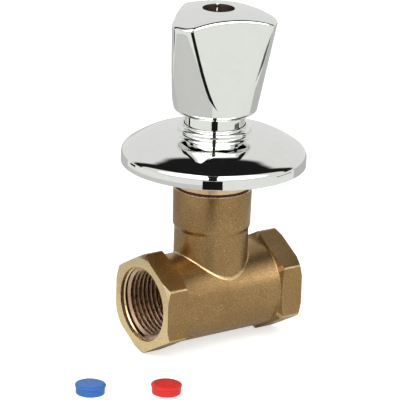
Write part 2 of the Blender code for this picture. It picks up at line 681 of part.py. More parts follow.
def make_plunger_seal(finish):
    """O-ring between the plunger and the grease chamber."""
    middle = GREASE_CHAMBER_RADIUS - FACE_GAP - PLUNGER_O_RING_SECTION / 2
    return torus("plunger_o_ring", middle, PLUNGER_O_RING_SECTION, finish, plunger_seal_height(),
                 steps=32)


def make_seat_washer(finish):
    """Rubber washer under the plunger's plate."""
    profile = plain_ring(WASHER_SCREW_RADIUS + FIT_GAP, WASHER_RADIUS, WASHER_THICKNESS, 0.0003)
    return turned("seat_washer", profile, finish, (0.0, 0.0, WASHER_BOTTOM))


def make_washer_screw(finish):
    """Screw that holds the washer on the plunger, its head in the seat's opening."""
    top = WASHER_THICKNESS + 2 * FIT_GAP + WASHER_SCREW_LENGTH - WASHER_THICKNESS
    head = WASHER_SCREW_HEAD_RADIUS
    profile = [
        (0.0, top), (WASHER_SCREW_RADIUS - 0.0003, top), (WASHER_SCREW_RADIUS, top - 0.0003),
        (WASHER_SCREW_RADIUS, 0.0), (head, 0.0), (head, -WASHER_SCREW_HEAD_HEIGHT * 0.6),
        (head - 0.0006, -WASHER_SCREW_HEAD_HEIGHT), (0.0, -WASHER_SCREW_HEAD_HEIGHT)]
    screw = turned("washer_screw", profile, finish, (0.0, 0.0, WASHER_BOTTOM - FIT_GAP),
                   steps=SMALL_STEPS)
    return slot_head(screw, head, WASHER_BOTTOM - FIT_GAP - WASHER_SCREW_HEAD_HEIGHT, -1)


def slot_head(screw, head_radius, top, side):
    """Cut a driving slot into a screw head."""
    depth = SCREW_SLOT_WIDTH * 0.7
    low = top - depth if side > 0 else top - 0.001
    high = top + 0.001 if side > 0 else top + depth
    reach = head_radius + 0.001
    slot = box(
        screw.name + "_slot", (-reach, -SCREW_SLOT_WIDTH / 2, low),
        (reach, SCREW_SLOT_WIDTH / 2, high))
    slot.rotation_euler = (0.0, 0.0, math.radians(30))
    cut(screw, slot)
    return settle(screw)


def make_sleeve(finish):
    """Chromed tube that screws onto the headwork and carries the rosette."""
    profile = [
        (SLEEVE_RADIUS - 0.0003, SLEEVE_LENGTH), (SLEEVE_RADIUS, SLEEVE_LENGTH - 0.0003),
        (SLEEVE_RADIUS, 0.0003), (SLEEVE_RADIUS - 0.0003, 0.0),
        (SLEEVE_BORE, 0.0), (SLEEVE_BORE, SLEEVE_LENGTH)]
    return turned("sleeve", profile, finish, (0.0, 0.0, SLEEVE_BOTTOM), steps=FINE_STEPS)


def rosette_outside():
    """Outer line of the rosette from its bore over the bead and the dome to the rim."""
    plateau = ROSETTE_PLATEAU
    slope = math.radians(ROSETTE_SLOPE)
    centre = (ROSETTE_RADIUS - ROSETTE_SHOULDER, ROSETTE_BAND)
    foot = (centre[0] + ROSETTE_SHOULDER * math.sin(slope), centre[1] + ROSETTE_SHOULDER * math.cos(slope))
    crest = (foot[0] - (plateau - foot[1]) / math.tan(slope), plateau)
    start = (crest[0] - ROSETTE_BEND, plateau)
    end = (crest[0] + ROSETTE_BEND * math.cos(slope), plateau - ROSETTE_BEND * math.sin(slope))
    line = [(ROSETTE_BORE, ROSETTE_TOP - ROSETTE_BASE), (ROSETTE_BORE + ROSETTE_LIP, ROSETTE_TOP - ROSETTE_BASE)]
    line += arc(BEAD_OUTER - BEAD_RADIUS, BEAD_HEIGHT - ROSETTE_BASE, BEAD_RADIUS, 110, -80, 7)
    line += blend(start, crest, end, 5)
    line += arc(*centre, ROSETTE_SHOULDER, 90 - ROSETTE_SLOPE, 0, 4)
    return line


def inset_line(line, wall):
    """A line that runs one wall thickness inside another, point by point."""
    inner = []
    for index, (radius, height) in enumerate(line):
        before = line[max(index - 1, 0)]
        after = line[min(index + 1, len(line) - 1)]
        run = Vector((after[0] - before[0], after[1] - before[1])).normalized()
        inner.append((radius + run.y * wall, height - run.x * wall))
    return inner


def blend(start, corner, end, count):
    """Points of a curve that leaves start towards corner and arrives at end."""
    points = []
    for index in range(count + 1):
        share = index / count
        weights = ((1 - share) ** 2, 2 * share * (1 - share), share ** 2)
        points.append(tuple(
            weights[0] * start[axis] + weights[1] * corner[axis] + weights[2] * end[axis]
            for axis in range(2)))
    return points


def make_escutcheon(finish):
    """Rosette: a thin dished shell with a bead that houses its friction ring."""
    outside = rosette_outside()
    wall = ROSETTE_WALL
    dome = inset_line(outside[-11:], wall)
    groove = ROSETTE_RING_SECTION + 4 * FACE_GAP
    floor = SLEEVE_RADIUS + ROSETTE_RING_SECTION + 2 * FACE_GAP
    ring = BEAD_HEIGHT - ROSETTE_BASE
    collar_bottom = ring - groove / 2 - wall
    inside = [(ROSETTE_RADIUS, 0.0), (ROSETTE_RADIUS - wall, 0.0)] + list(reversed(dome))
    inside += [
        (floor + wall, ROSETTE_PLATEAU - wall),
        (floor + wall, collar_bottom),
        (ROSETTE_BORE, collar_bottom),
        (ROSETTE_BORE, ring - groove / 2),
        (floor, ring - groove / 2),
        (floor, ring + groove / 2),
        (ROSETTE_BORE, ring + groove / 2),
    ]
    return turned("escutcheon", outside + inside, finish, (0.0, 0.0, ROSETTE_BASE), steps=FINE_STEPS)


def make_escutcheon_ring(finish):
    """Friction ring between the rosette and the sleeve."""
    middle = SLEEVE_RADIUS + FACE_GAP + ROSETTE_RING_SECTION / 2
    return torus("escutcheon_o_ring", middle, ROSETTE_RING_SECTION, finish, BEAD_HEIGHT,
                 steps=MEDIUM_STEPS)


def cone_radius(height):
    """Radius of the handle's turned form at a height above its base."""
    return HANDLE_BASE_RADIUS + HANDLE_TAPER * height


def crown_height(radius):
    """Height of the handle's crown at a distance from the stem."""
    return HANDLE_HEIGHT - max(radius - HANDLE_CROWN_LAND, 0.0) ** 2 / (2 * HANDLE_CROWN_RADIUS)


def flat_distance(height):
    """Distance from the stem to a flat at a height above the handle's base."""
    return HANDLE_FLAT_DISTANCE - HANDLE_FLAT_LEAN * height


def crease_angles(height):
    """Angles from a flat's middle at which its rounded crease starts and ends."""
    middle = cone_radius(height) - HANDLE_CREASE_RADIUS
    ratio = (flat_distance(height) - HANDLE_CREASE_RADIUS) / middle
    end = math.acos(min(ratio, math.cos(math.radians(4))))
    start = math.atan2(middle * math.sin(end), flat_distance(height))
    return start, end


def side_radius(height, angle):
    """Distance from the stem to the handle's side, angle from the middle of a flat."""
    start, end = crease_angles(height)
    rib = cone_radius(height)
    flat = flat_distance(height)
    if rib <= flat or angle >= end:
        return rib
    if angle <= start:
        return min(rib, flat / math.cos(angle))
    middle = rib - HANDLE_CREASE_RADIUS
    across = middle * math.sin(angle - end)
    return middle * math.cos(angle - end) + math.sqrt(HANDLE_CREASE_RADIUS ** 2 - across ** 2)


def section_angles(height):
    """Angles from one flat's middle to the next, which follow the creases."""
    start, end = crease_angles(height)
    third = math.radians(120)
    near = [0.0] + [start + (end - start) * step / CREASE_STEPS for step in range(CREASE_STEPS + 1)]
    far = [third - angle for angle in reversed(near)]
    return near + [third / 2] + far[:-1]


def angle_from_flat(angle):
    """Fold an angle into the range about the nearest flat's middle."""
    third = math.radians(120)
    return abs((angle + third / 2) % third - third / 2)


def handle_section(height, inset=0.0):
    """One closed section of the handle's side."""
    start = math.radians(HANDLE_CORNER_ANGLE - 60)
    section = []
    for turn_index in range(3):
        for angle in section_angles(height):
            radius = side_radius(height, angle_from_flat(angle)) - inset
            section.append((radius, start + angle + math.radians(120) * turn_index))
    return section


def handle_levels():
    """Rings of (radius, angle, height) points from the base edge over the crown."""
    levels = []
    edge = HANDLE_BASE_EDGE
    for step in range(5):
        bend = math.radians(90 * step / 4)
        inset = edge * (1 - math.sin(bend))
        height = edge * (1 - math.cos(bend))
        levels.append([(r, a, height) for r, a in handle_section(height, inset)])
    lowest_top = crown_height(cone_radius(HANDLE_HEIGHT)) - HANDLE_TOP_EDGE * 2
    for step in range(1, SIDE_STEPS + 1):
        height = edge + (lowest_top - edge) * (step / SIDE_STEPS) ** SIDE_SPACING
        levels.append([(r, a, height) for r, a in handle_section(height)])
    top_section = handle_section(lowest_top)
    fillet_rings = [[] for _ in range(4)]
    crown_rings = [[] for _ in range(5)]
    for radius, angle in top_section:
        corner = meet_crown(angle - math.radians(HANDLE_CORNER_ANGLE - 60))
        below_height = corner[1] - HANDLE_TOP_EDGE
        below_angle = angle_from_flat(angle - math.radians(HANDLE_CORNER_ANGLE - 60))
        below = (side_radius(below_height, below_angle), below_height)
        inward_r = corner[0] - HANDLE_TOP_EDGE
        inward = (inward_r, crown_height(inward_r))
        for ring, point in zip(fillet_rings, blend(below, corner, inward, 3)):
            ring.append((point[0], angle, point[1]))
        for index, ring in enumerate(crown_rings):
            share = (index + 1) / len(crown_rings)
            radius_here = inward_r + (CAP_HOLE_RADIUS * 0.8 - inward_r) * share
            ring.append((radius_here, angle, crown_height(radius_here)))
    return levels + fillet_rings + crown_rings


def meet_crown(angle):
    """Where the side meets the crown at an angle from the first flat's middle."""
    height = HANDLE_HEIGHT
    for _ in range(12):
        radius = side_radius(height, angle_from_flat(angle))
        height = crown_height(radius)
    return radius, height


def make_handle(finish):
    """Three-sided handle: a loft from a round foot to a three-sided crown."""
    shape = bmesh.new()
    rings = []
    for level in handle_levels():
        rings.append([
            shape.verts.new((radius * math.cos(angle), radius * math.sin(angle), height))
            for radius, angle, height in level])
    count = len(rings[0])
    for lower, upper in zip(rings, rings[1:]):
        for index in range(count):
            after = (index + 1) % count
            shape.faces.new((lower[index], lower[after], upper[after], upper[index]))
    shape.faces.new(list(reversed(rings[0])))
    shape.faces.new(rings[-1])
    bmesh.ops.remove_doubles(shape, verts=shape.verts, dist=0.000001)
    bmesh.ops.recalc_face_normals(shape, faces=shape.faces)
    mesh = bpy.data.meshes.new("handle")
    shape.to_mesh(mesh)
    shape.free()
    handle = add_object("handle", mesh, finish, (0.0, 0.0, HANDLE_BASE))
    bore = HANDLE_BASE_RADIUS - HANDLE_BASE_EDGE
    hub_bore = INSERT_RADIUS + FIT_GAP
    hub = hub_bore + HUB_WALL
    skirt = [
        (0.0, WEB_BOTTOM), (hub_bore, WEB_BOTTOM), (hub_bore, INSERT_BOTTOM - FIT_GAP),
        (hub, INSERT_BOTTOM - FIT_GAP), (hub, SKIRT_TOP + HANDLE_HUB_DEPTH),
        (bore - 0.001, SKIRT_TOP + HANDLE_HUB_DEPTH), (bore, SKIRT_TOP), (bore, HANDLE_BASE - 0.001),
        (0.0, HANDLE_BASE - 0.001)]
    cap_hole = [
        (0.0, HANDLE_TOP + 0.001), (CAP_HOLE_RADIUS + 0.0011, HANDLE_TOP + 0.001),
        (CAP_HOLE_RADIUS, HANDLE_TOP - 0.0003), (CAP_HOLE_RADIUS, WEB_TOP), (0.0, WEB_TOP)]
    screw_hole = [
        (0.0, WEB_TOP + 0.001), (HANDLE_SCREW_RADIUS + 2 * FIT_GAP, WEB_TOP + 0.001),
        (HANDLE_SCREW_RADIUS + 2 * FIT_GAP, WEB_BOTTOM - 0.001), (0.0, WEB_BOTTOM - 0.001)]
    cut(handle, turned("handle_hollow", skirt, None, steps=FINE_STEPS))
    cut(handle, turned("cap_hole", cap_hole, None))
    cut(handle, turned("screw_hole", screw_hole, None, steps=SMALL_STEPS))
    notch = box(
        "cap_notch", (0.0, -CAP_NOTCH_WIDTH / 2, HANDLE_TOP - 0.002),
        (CAP_HOLE_RADIUS + CAP_NOTCH_DEPTH, CAP_NOTCH_WIDTH / 2, HANDLE_TOP + 0.001))
    notch.rotation_euler = (0.0, 0.0, math.radians(CAP_NOTCH_ANGLE))
    cut(handle, notch)
    return settle(handle)


def make_insert(finish):
    """Splined insert in the handle's hub."""
    height = INSERT_TOP - INSERT_BOTTOM
    bore = SPINDLE_RADIUS + FIT_GAP
    web = height - INSERT_WEB
    screw = HANDLE_SCREW_RADIUS + FIT_GAP
    profile = [
        (INSERT_RADIUS - 0.0003, height), (INSERT_RADIUS, height - 0.0003),
        (INSERT_RADIUS, 0.0003), (INSERT_RADIUS - 0.0003, 0.0),
        (bore, 0.0), (bore, web), (screw, web), (screw, height)]
    return turned("handle_insert", profile, finish, (0.0, 0.0, INSERT_BOTTOM), steps=40)


def make_handle_screw(finish):
    """Slotted screw that holds the handle on the spindle."""
    head = HANDLE_SCREW_HEAD_RADIUS
    rise = HANDLE_SCREW_HEAD_HEIGHT
    profile = [
        (0.0, rise), (head - 0.0007, rise), (head - 0.0002, rise - 0.0003), (head, rise - 0.0009),
        (head, 0.0), (HANDLE_SCREW_RADIUS, 0.0),
        (HANDLE_SCREW_RADIUS, -HANDLE_SCREW_LENGTH + 0.0004),
        (HANDLE_SCREW_RADIUS - 0.0004, -HANDLE_SCREW_LENGTH), (0.0, -HANDLE_SCREW_LENGTH)]
    base = WEB_TOP + FACE_GAP
    screw = turned("handle_screw", profile, finish, (0.0, 0.0, base), steps=SMALL_STEPS)
    return slot_head(screw, head, base + rise, 1)


def make_index_cap(name, finish, place):
    """Push-in index cap, a shallow cup that stands on its open side."""
    skirt = CAP_RADIUS - CAP_SKIRT_INSET
    profile = [
        (0.0, CAP_HEIGHT), (CAP_RADIUS - 0.0003, CAP_HEIGHT), (CAP_RADIUS, CAP_HEIGHT - 0.0003),
        (CAP_RADIUS, CAP_HEIGHT - CAP_RIM), (skirt, CAP_HEIGHT - CAP_RIM - 0.0002), (skirt, 0.0),
        (skirt - CAP_WALL, 0.0), (skirt - CAP_WALL, CAP_HEIGHT - CAP_RIM), (0.0, CAP_HEIGHT - CAP_RIM)]
    return turned(name, profile, finish, (*place, FLOOR_HEIGHT), steps=40)


def hold(name, height, pieces):
    """Parent pieces to an empty that stands on the stem's axis."""
    holder = bpy.data.objects.new(name, None)
    holder.location = (0.0, 0.0, height)
    parts.objects.link(holder)
    bpy.context.view_layer.update()
    for piece in pieces:
        piece.parent = holder
        piece.matrix_parent_inverse = holder.matrix_world.inverted()
    return holder


def main():
    """Build the valve."""
    start_clean()
    brass = material("blasted_brass", (0.47, 0.33, 0.14), 0.55, 1.0)
    machined = material("machined_brass", (0.72, 0.52, 0.26), 0.25, 1.0)
    chrome = material("chrome", (0.82, 0.83, 0.82), 0.05, 1.0)
    fibre = material("red_fibre", (0.16, 0.02, 0.02), 0.7, 0.0)
    rubber = material("black_rubber", (0.02, 0.02, 0.02), 0.6, 0.0)
    steel = material("spring_steel", (0.45, 0.45, 0.45), 0.3, 1.0)
    nylon = material("white_nylon", (0.75, 0.74, 0.70), 0.5, 0.0)
    blue = material("blue_plastic", (0.03, 0.15, 0.45), 0.35, 0.0)
    red = material("red_plastic", (0.68, 0.03, 0.02), 0.35, 0.0)

    fixed = [make_valve_body(brass), make_gasket(fibre), make_bonnet(machined), make_sleeve(chrome)]
    fixed += [
        make_index_cap("cold_index_cap", blue, COLD_CAP_PLACE),
        make_index_cap("hot_index_cap", red, HOT_CAP_PLACE)]
    turning = [make_spindle(machined), make_clip(steel), make_thrust_washer(nylon)]
    turning += make_stem_seals(rubber)
    turning += [make_handle(chrome), make_insert(machined), make_handle_screw(machined)]
    lifting = [make_plunger(machined), make_plunger_seal(rubber), make_seat_washer(rubber)]
    lifting.append(make_washer_screw(machined))
    sliding = [make_escutcheon(chrome), make_escutcheon_ring(rubber)]

    hold("valve_frame", 0.0, fixed)
    hold("spindle_axis", FLANGE_TOP, turning)
    hold("plunger_axis", PLATE_BOTTOM, lifting)
    hold("escutcheon_axis", ROSETTE_BASE, sliding)
    for item in fixed + turning + lifting + sliding:
        smooth_by_angle(item)


main()
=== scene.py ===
"""Looks of the concealed stop valve: blasted brass, bright chrome and moulded caps."""

import logging
import math
from dataclasses import dataclass, field
from enum import Enum
from typing import Callable, Iterable, Sequence

import bmesh
import bpy
from mathutils import Matrix, Vector


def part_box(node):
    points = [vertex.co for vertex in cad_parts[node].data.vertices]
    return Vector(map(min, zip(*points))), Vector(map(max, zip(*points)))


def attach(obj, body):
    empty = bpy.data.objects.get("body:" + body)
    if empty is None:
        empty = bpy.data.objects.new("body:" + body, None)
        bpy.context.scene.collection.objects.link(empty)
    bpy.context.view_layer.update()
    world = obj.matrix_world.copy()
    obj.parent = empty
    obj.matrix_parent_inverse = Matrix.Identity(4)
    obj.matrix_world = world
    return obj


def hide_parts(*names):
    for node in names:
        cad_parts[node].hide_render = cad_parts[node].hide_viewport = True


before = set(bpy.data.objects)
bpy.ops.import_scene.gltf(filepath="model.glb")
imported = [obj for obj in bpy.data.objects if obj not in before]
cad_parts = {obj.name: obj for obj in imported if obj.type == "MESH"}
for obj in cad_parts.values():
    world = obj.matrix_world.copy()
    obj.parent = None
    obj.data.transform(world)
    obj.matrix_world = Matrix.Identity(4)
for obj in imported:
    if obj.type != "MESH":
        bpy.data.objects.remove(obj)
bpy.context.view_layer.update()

LOG = logging.getLogger("stop_valve")
MM = 0.001

Point = tuple[float, float]
Colour = tuple[float, float, float]


class Axis(Enum):
    """Axis that a turned piece is turned about."""

    STEM = "stem"
    PIPE = "pipe"


class Body(Enum):
    """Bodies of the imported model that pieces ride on."""

    VALVE = "valve"
    HANDLE = "handle_and_spindle"
    PLUNGER = "plunger_and_washer"
    ROSETTE = "rosette"


# Shapes


def arc(centre: Point, radius: float, start: float, end: float, count: int) -> list[Point]:
    """Points along an arc.

    Args:
        centre: Radius and height of the arc's centre, in millimetres.
        radius: The arc's radius.
        start: First angle in degrees, 0 outwards and 90 up.
        end: Last angle in degrees.
        count: Number of steps.

    Returns:
        The points from the first angle to the last.
    """
    points = []
    for index in range(count + 1):
        angle = math.radians(start + (end - start) * index / count)
        points.append((centre[0] + radius * math.cos(angle), centre[1] + radius * math.sin(angle)))
    return points


def bend(start: Point, corner: Point, end: Point, count: int) -> list[Point]:
    """Points along a quadratic curve that rounds a corner.

    Args:
        start: Point where the curve leaves the first side.
        corner: The corner that it rounds.
        end: Point where it joins the second side.
        count: Number of steps.

    Returns:
        The points from start to end.
    """
    points = []
    for index in range(count + 1):
        share = index / count
        first, middle, last = (1 - share) ** 2, 2 * share * (1 - share), share ** 2
        points.append((
            first * start[0] + middle * corner[0] + last * end[0],
            first * start[1] + middle * corner[1] + last * end[1],
        ))
    return points


def rounded(points: Sequence[tuple[float, float, float]], steps: int = 4) -> list[Point]:
    """Round the corners of an outline.

    Args:
        points: Radius, height and rounding of each corner, in millimetres.
        steps: Number of steps on each rounded corner.

    Returns:
        The outline with each corner that has a rounding replaced by a curve.
    """
    line: list[Point] = []
    for index, (radius, height, rounding) in enumerate(points):
        before, after = points[index - 1], points[(index + 1) % len(points)]
        if rounding <= 0:
            line.append((radius, height))
            continue
        ends = []
        for other in (before, after):
            run = (other[0] - radius, other[1] - height)
            length = math.hypot(*run)
            reach = min(rounding, 0.49 * length) / length
            ends.append((radius + run[0] * reach, height + run[1] * reach))
        line += bend(ends[0], (radius, height), ends[1], steps)
    return line


def smooth_line(points: Sequence[Point], steps: int) -> list[Point]:
    """Run a smooth curve through points.

    Args:
        points: The points that the curve passes, with even spacing in its parameter.
        steps: Number of steps between two points.

    Returns:
        Points along a Catmull-Rom curve.
    """
    line: list[Point] = []
    for index in range(len(points) - 1):
        knots = [points[max(index - 1, 0)], points[index], points[index + 1],
                 points[min(index + 2, len(points) - 1)]]
        for step in range(steps):
            share = step / steps
            point = []
            for axis in range(2):
                a, b, c, d = (knot[axis] for knot in knots)
                point.append(0.5 * (
                    2 * b + (c - a) * share + (2 * a - 5 * b + 4 * c - d) * share ** 2
                    + (3 * b - a - 3 * c + d) * share ** 3))
            line.append((point[0], point[1]))
    line.append(points[-1])
    return line


def link_object(name: str, mesh: bpy.types.Mesh) -> bpy.types.Object:
    """Link a new object to the scene.

    Args:
        name: Name of the object.
        mesh: The mesh that it shows.

    Returns:
        The new object.
    """
    item = bpy.data.objects.new(name, mesh)
    bpy.context.scene.collection.objects.link(item)
    return item


def loft(name: str, rings: Sequence[Sequence[Vector]], closed: bool) -> bpy.types.Object:
    """Skin a row of rings.

    Args:
        name: Name of the new object.
        rings: Rings of equal length, in millimetres.
        closed: Whether the last ring joins the first. Otherwise both ends are capped.

    Returns:
        The closed shell, in metres, smooth with sharp edges.
    """
    shape = bmesh.new()
    rows = [[shape.verts.new(point * MM) for point in ring] for ring in rings]
    pairs = list(zip(rows, rows[1:]))
    if closed:
        pairs.append((rows[-1], rows[0]))
    count = len(rows[0])
    for lower, upper in pairs:
        for index in range(count):
            after = (index + 1) % count
            shape.faces.new((lower[index], lower[after], upper[after], upper[index]))
    if not closed:
        shape.faces.new(list(reversed(rows[0])))
        shape.faces.new(rows[-1])
    bmesh.ops.remove_doubles(shape, verts=shape.verts, dist=1e-7)
    bmesh.ops.recalc_face_normals(shape, faces=shape.faces)
    mesh = bpy.data.meshes.new(name)
    shape.to_mesh(mesh)
    shape.free()
    mesh.shade_smooth()
    mesh.set_sharp_from_angle(angle=math.radians(28))
    return link_object(name, mesh)


def turned(name: str, profile: Sequence[Point], steps: int = 160,
           axis: Axis = Axis.STEM) -> bpy.types.Object:
    """Turn a closed profile about an axis.

    Args:
        name: Name of the new object.
        profile: Radius and height of each point, in millimetres. One that starts and
            ends on the axis makes a solid piece, and any other makes a ring.
        steps: Number of facets round the axis.
        axis: The axis, the stem upwards or the pipe along +X.

    Returns:
        The closed shell.
    """
    solid = profile[0][0] == 0.0 and profile[-1][0] == 0.0
    rings = []
    for radius, height in (profile[1:-1] if solid else profile):
        ring = []
        for index in range(steps):
            angle = 2 * math.pi * index / steps
            across, along = radius * math.cos(angle), radius * math.sin(angle)
            place = (across, along, height) if axis is Axis.STEM else (height, across, along)
            ring.append(Vector(place))
        rings.append(ring)
    return loft(name, rings, closed=not solid)


def combine(item: bpy.types.Object, other: bpy.types.Object, operation: str) -> None:
    """Apply an exact Boolean and remove the other object.

    Args:
        item: The object that is changed.
        other: The object that is joined, kept in common or cut away.
        operation: UNION, INTERSECT or DIFFERENCE.
    """
    step = item.modifiers.new("shape", "BOOLEAN")
    step.operation = operation
    step.object = other
    step.solver = "EXACT"
    apply_modifiers(item)
    bpy.data.objects.remove(other)


def apply_modifiers(item: bpy.types.Object) -> None:
    """Replace an object's mesh by its evaluated one and drop its modifiers.

    Args:
        item: The object that is changed.
    """
    view = bpy.context.evaluated_depsgraph_get()
    mesh = bpy.data.meshes.new_from_object(item.evaluated_get(view))
    item.modifiers.clear()
    item.data = mesh


def shade(item: bpy.types.Object, angle: float = 28.0) -> None:
    """Shade an object smooth with edges sharp past an angle in degrees."""
    item.data.shade_smooth()
    item.data.set_sharp_from_angle(angle=math.radians(angle))


def dress(item: bpy.types.Object, material: bpy.types.Material) -> None:
    """Give an object one material on all faces."""
    item.data.materials.clear()
    item.data.materials.append(material)


# Finishes


@dataclass(frozen=True)
class Nodes:
    """Short way to add and link nodes in one tree."""

    tree: bpy.types.NodeTree

    def add(self, kind: str, inputs: dict[str | int, object] | None = None,
            **values: object) -> bpy.types.Node:
        """Add a node, set its attributes and fill its inputs.

        Args:
            kind: The node's type name.
            inputs: A plain value or the socket to link, for each input that isn't left as it is.
            **values: Attributes of the node.

        Returns:
            The new node.
        """
        node = self.tree.nodes.new(kind)
        for name, value in values.items():
            setattr(node, name, value)
        for name, value in (inputs or {}).items():
            self.fill(node.inputs[name], value)
        return node

    def fill(self, target: bpy.types.NodeSocket, value: object) -> None:
        """Link a socket to an input, or set the input to a plain value.

        Args:
            target: The input.
            value: A socket or a plain value.
        """
        if isinstance(value, bpy.types.NodeSocket):
            self.tree.links.new(value, target)
        else:
            target.default_value = value

    def noise(self, place: bpy.types.NodeSocket, scale: float, detail: float = 3.0,
              roughness: float = 0.55) -> bpy.types.NodeSocket:
        """Add a noise texture.

        Args:
            place: The coordinates that it reads.
            scale: Its scale, for each metre.
            detail: Number of octaves.
            roughness: Weight of the finer octaves.

        Returns:
            The noise value.
        """
        inputs = {"Vector": place, "Scale": scale, "Detail": detail, "Roughness": roughness}
        return self.add("ShaderNodeTexNoise", inputs).outputs["Fac"]

    def math(self, operation: str, first: object, second: object = 0.0,
             clamp: bool = False) -> bpy.types.NodeSocket:
        """Add a math node.

        Args:
            operation: What it does.
            first: A number or a socket.
            second: A number or a socket.
            clamp: Whether the result is kept from 0 to 1.

        Returns:
            The result.
        """
        node = self.add("ShaderNodeMath", {0: first, 1: second}, operation=operation, use_clamp=clamp)
        return node.outputs[0]

    def remap(self, value: bpy.types.NodeSocket, low: float, high: float,
              to_low: float = 0.0, to_high: float = 1.0) -> bpy.types.NodeSocket:
        """Map a range to another, smoothly and clamped.

        Args:
            value: The value that is mapped.
            low: Where the range starts.
            high: Where the range ends.
            to_low: The result at the start.
            to_high: The result at the end.

        Returns:
            The mapped value.
        """
        inputs = {"Value": value, "From Min": low, "From Max": high, "To Min": to_low,
                  "To Max": to_high}
        return self.add("ShaderNodeMapRange", inputs, interpolation_type="SMOOTHSTEP").outputs["Result"]

    def mix(self, share: bpy.types.NodeSocket, first: object, second: object) -> bpy.types.NodeSocket:
        """Mix two colours.

        Args:
            share: Share of the second colour.
            first: A colour or a socket.
            second: A colour or a socket.

        Returns:
            The mixed colour.
        """
        node = self.add("ShaderNodeMix", {"Factor": share}, data_type="RGBA")
        for name, value in (("A", first), ("B", second)):
            socket = next(item for item in node.inputs if item.name == name and item.type == "RGBA")
            self.fill(socket, value if isinstance(value, bpy.types.NodeSocket) else (*value, 1.0))
        return next(item for item in node.outputs if item.type == "RGBA")

    def bump(self, height: bpy.types.NodeSocket, distance: float, strength: float,
             target: bpy.types.NodeSocket) -> None:
        """Add a bump node that feeds a normal.

        Args:
            height: The height.
            distance: Height of a full step, in metres.
            strength: Strength of the effect.
            target: The normal socket that it feeds.
        """
        inputs = {"Height": height, "Distance": distance, "Strength": strength}
        self.fill(target, self.add("ShaderNodeBump", inputs).outputs["Normal"])


@dataclass(frozen=True)
class Finish:
    """A finish with a base colour, a gloss and a fine grain."""

    name: str
    colour: Colour
    dark: Colour
    roughness: float
    metallic: float = 0.0
    grain: float = 1200.0
    grain_depth: float = 0.0
    spread: float = 0.08

    def material(self) -> bpy.types.Material:
        """Make the finish's procedural material.

        Returns:
            The material.
        """
        made, nodes, shader, place = self.start()
        cloud = nodes.noise(place, self.grain * 0.06, 4.0)
        fine = nodes.noise(place, self.grain, 2.0)
        share = nodes.remap(cloud, 0.3, 0.7)
        nodes.fill(shader.inputs["Base Color"], nodes.mix(share, self.dark, self.colour))
        rough = nodes.remap(fine, 0.3, 0.7, self.roughness * (1 - self.spread),
                            self.roughness * (1 + self.spread))
        nodes.fill(shader.inputs["Roughness"], rough)
        if self.grain_depth > 0:
            nodes.bump(fine, self.grain_depth * MM, 1.0, shader.inputs["Normal"])
        return made

    def start(self) -> tuple[bpy.types.Material, Nodes, bpy.types.Node, bpy.types.NodeSocket]:
        """Start a material.

        Returns:
            The material, its nodes, its shader and the object's coordinates.
        """
        made = bpy.data.materials.new(self.name)
        made.use_nodes = True
        nodes = Nodes(made.node_tree)
        shader = made.node_tree.nodes["Principled BSDF"]
        shader.inputs["Metallic"].default_value = self.metallic
        place = nodes.add("ShaderNodeTexCoord").outputs["Object"]
        return made, nodes, shader, place


@dataclass(frozen=True)
class Chrome(Finish):
    """Bright chrome plate with the faint swell of the polished casting under it."""

    haze: float = 260.0
    rub: float = 420.0
    swell: float = 90.0
    swell_depth: float = 0.003

    def material(self) -> bpy.types.Material:
        """Make the plate's procedural material.

        Returns:
            The material.
        """
        made, nodes, shader, place = self.start()
        haze = nodes.remap(nodes.noise(place, self.haze, 4.0), 0.35, 0.7)
        nodes.fill(shader.inputs["Base Color"], nodes.mix(haze, self.colour, self.dark))
        rough = nodes.remap(nodes.noise(place, self.rub, 5.0), 0.35, 0.75,
                            self.roughness, self.roughness * (1 + self.spread))
        nodes.fill(shader.inputs["Roughness"], rough)
        nodes.bump(nodes.noise(place, self.swell, 1.0), self.swell_depth * MM, 1.0,
                   shader.inputs["Normal"])
        return made


@dataclass(frozen=True)
class BlastedBrass(Finish):
    """Hot-pressed brass, shot-blasted: fine craters, painted glints as lighter specks and tarnish in clouds.
    """

    painted_glint: Colour = (0.72, 0.53, 0.28)
    tarnish: float = 75.0
    pit_share: float = 0.78

    def material(self) -> bpy.types.Material:
        """Make the casting's procedural material.

        Returns:
            The material.
        """
        made, nodes, shader, place = self.start()
        cloud = nodes.remap(nodes.noise(place, self.tarnish, 3.0), 0.30, 0.70)
        grain = nodes.noise(place, self.grain, 2.0, 0.6)
        coarse = nodes.noise(place, self.grain * 0.75, 2.0, 0.6)
        base = nodes.mix(cloud, self.dark, self.colour)
        pits = nodes.remap(coarse, 0.34, 0.58)
        pitted = nodes.mix(pits, self.pit_colour(), base)
        # Lighter specks where the fine grain peaks: painted glints.
        glints = nodes.remap(grain, 0.62, 0.72)
        nodes.fill(shader.inputs["Base Color"], nodes.mix(glints, pitted, self.painted_glint))
        rough = nodes.remap(grain, 0.3, 0.7, self.roughness * (1 + self.spread),
                            self.roughness * (1 - self.spread))
        nodes.fill(shader.inputs["Roughness"], rough)
        height = nodes.math("ADD", grain, coarse)
        nodes.bump(height, self.grain_depth * MM, 1.0, shader.inputs["Normal"])
        return made

    def pit_colour(self) -> Colour:
        """Return the darker colour in the blasted surface's pits."""
        return tuple(self.pit_share * part for part in self.dark)


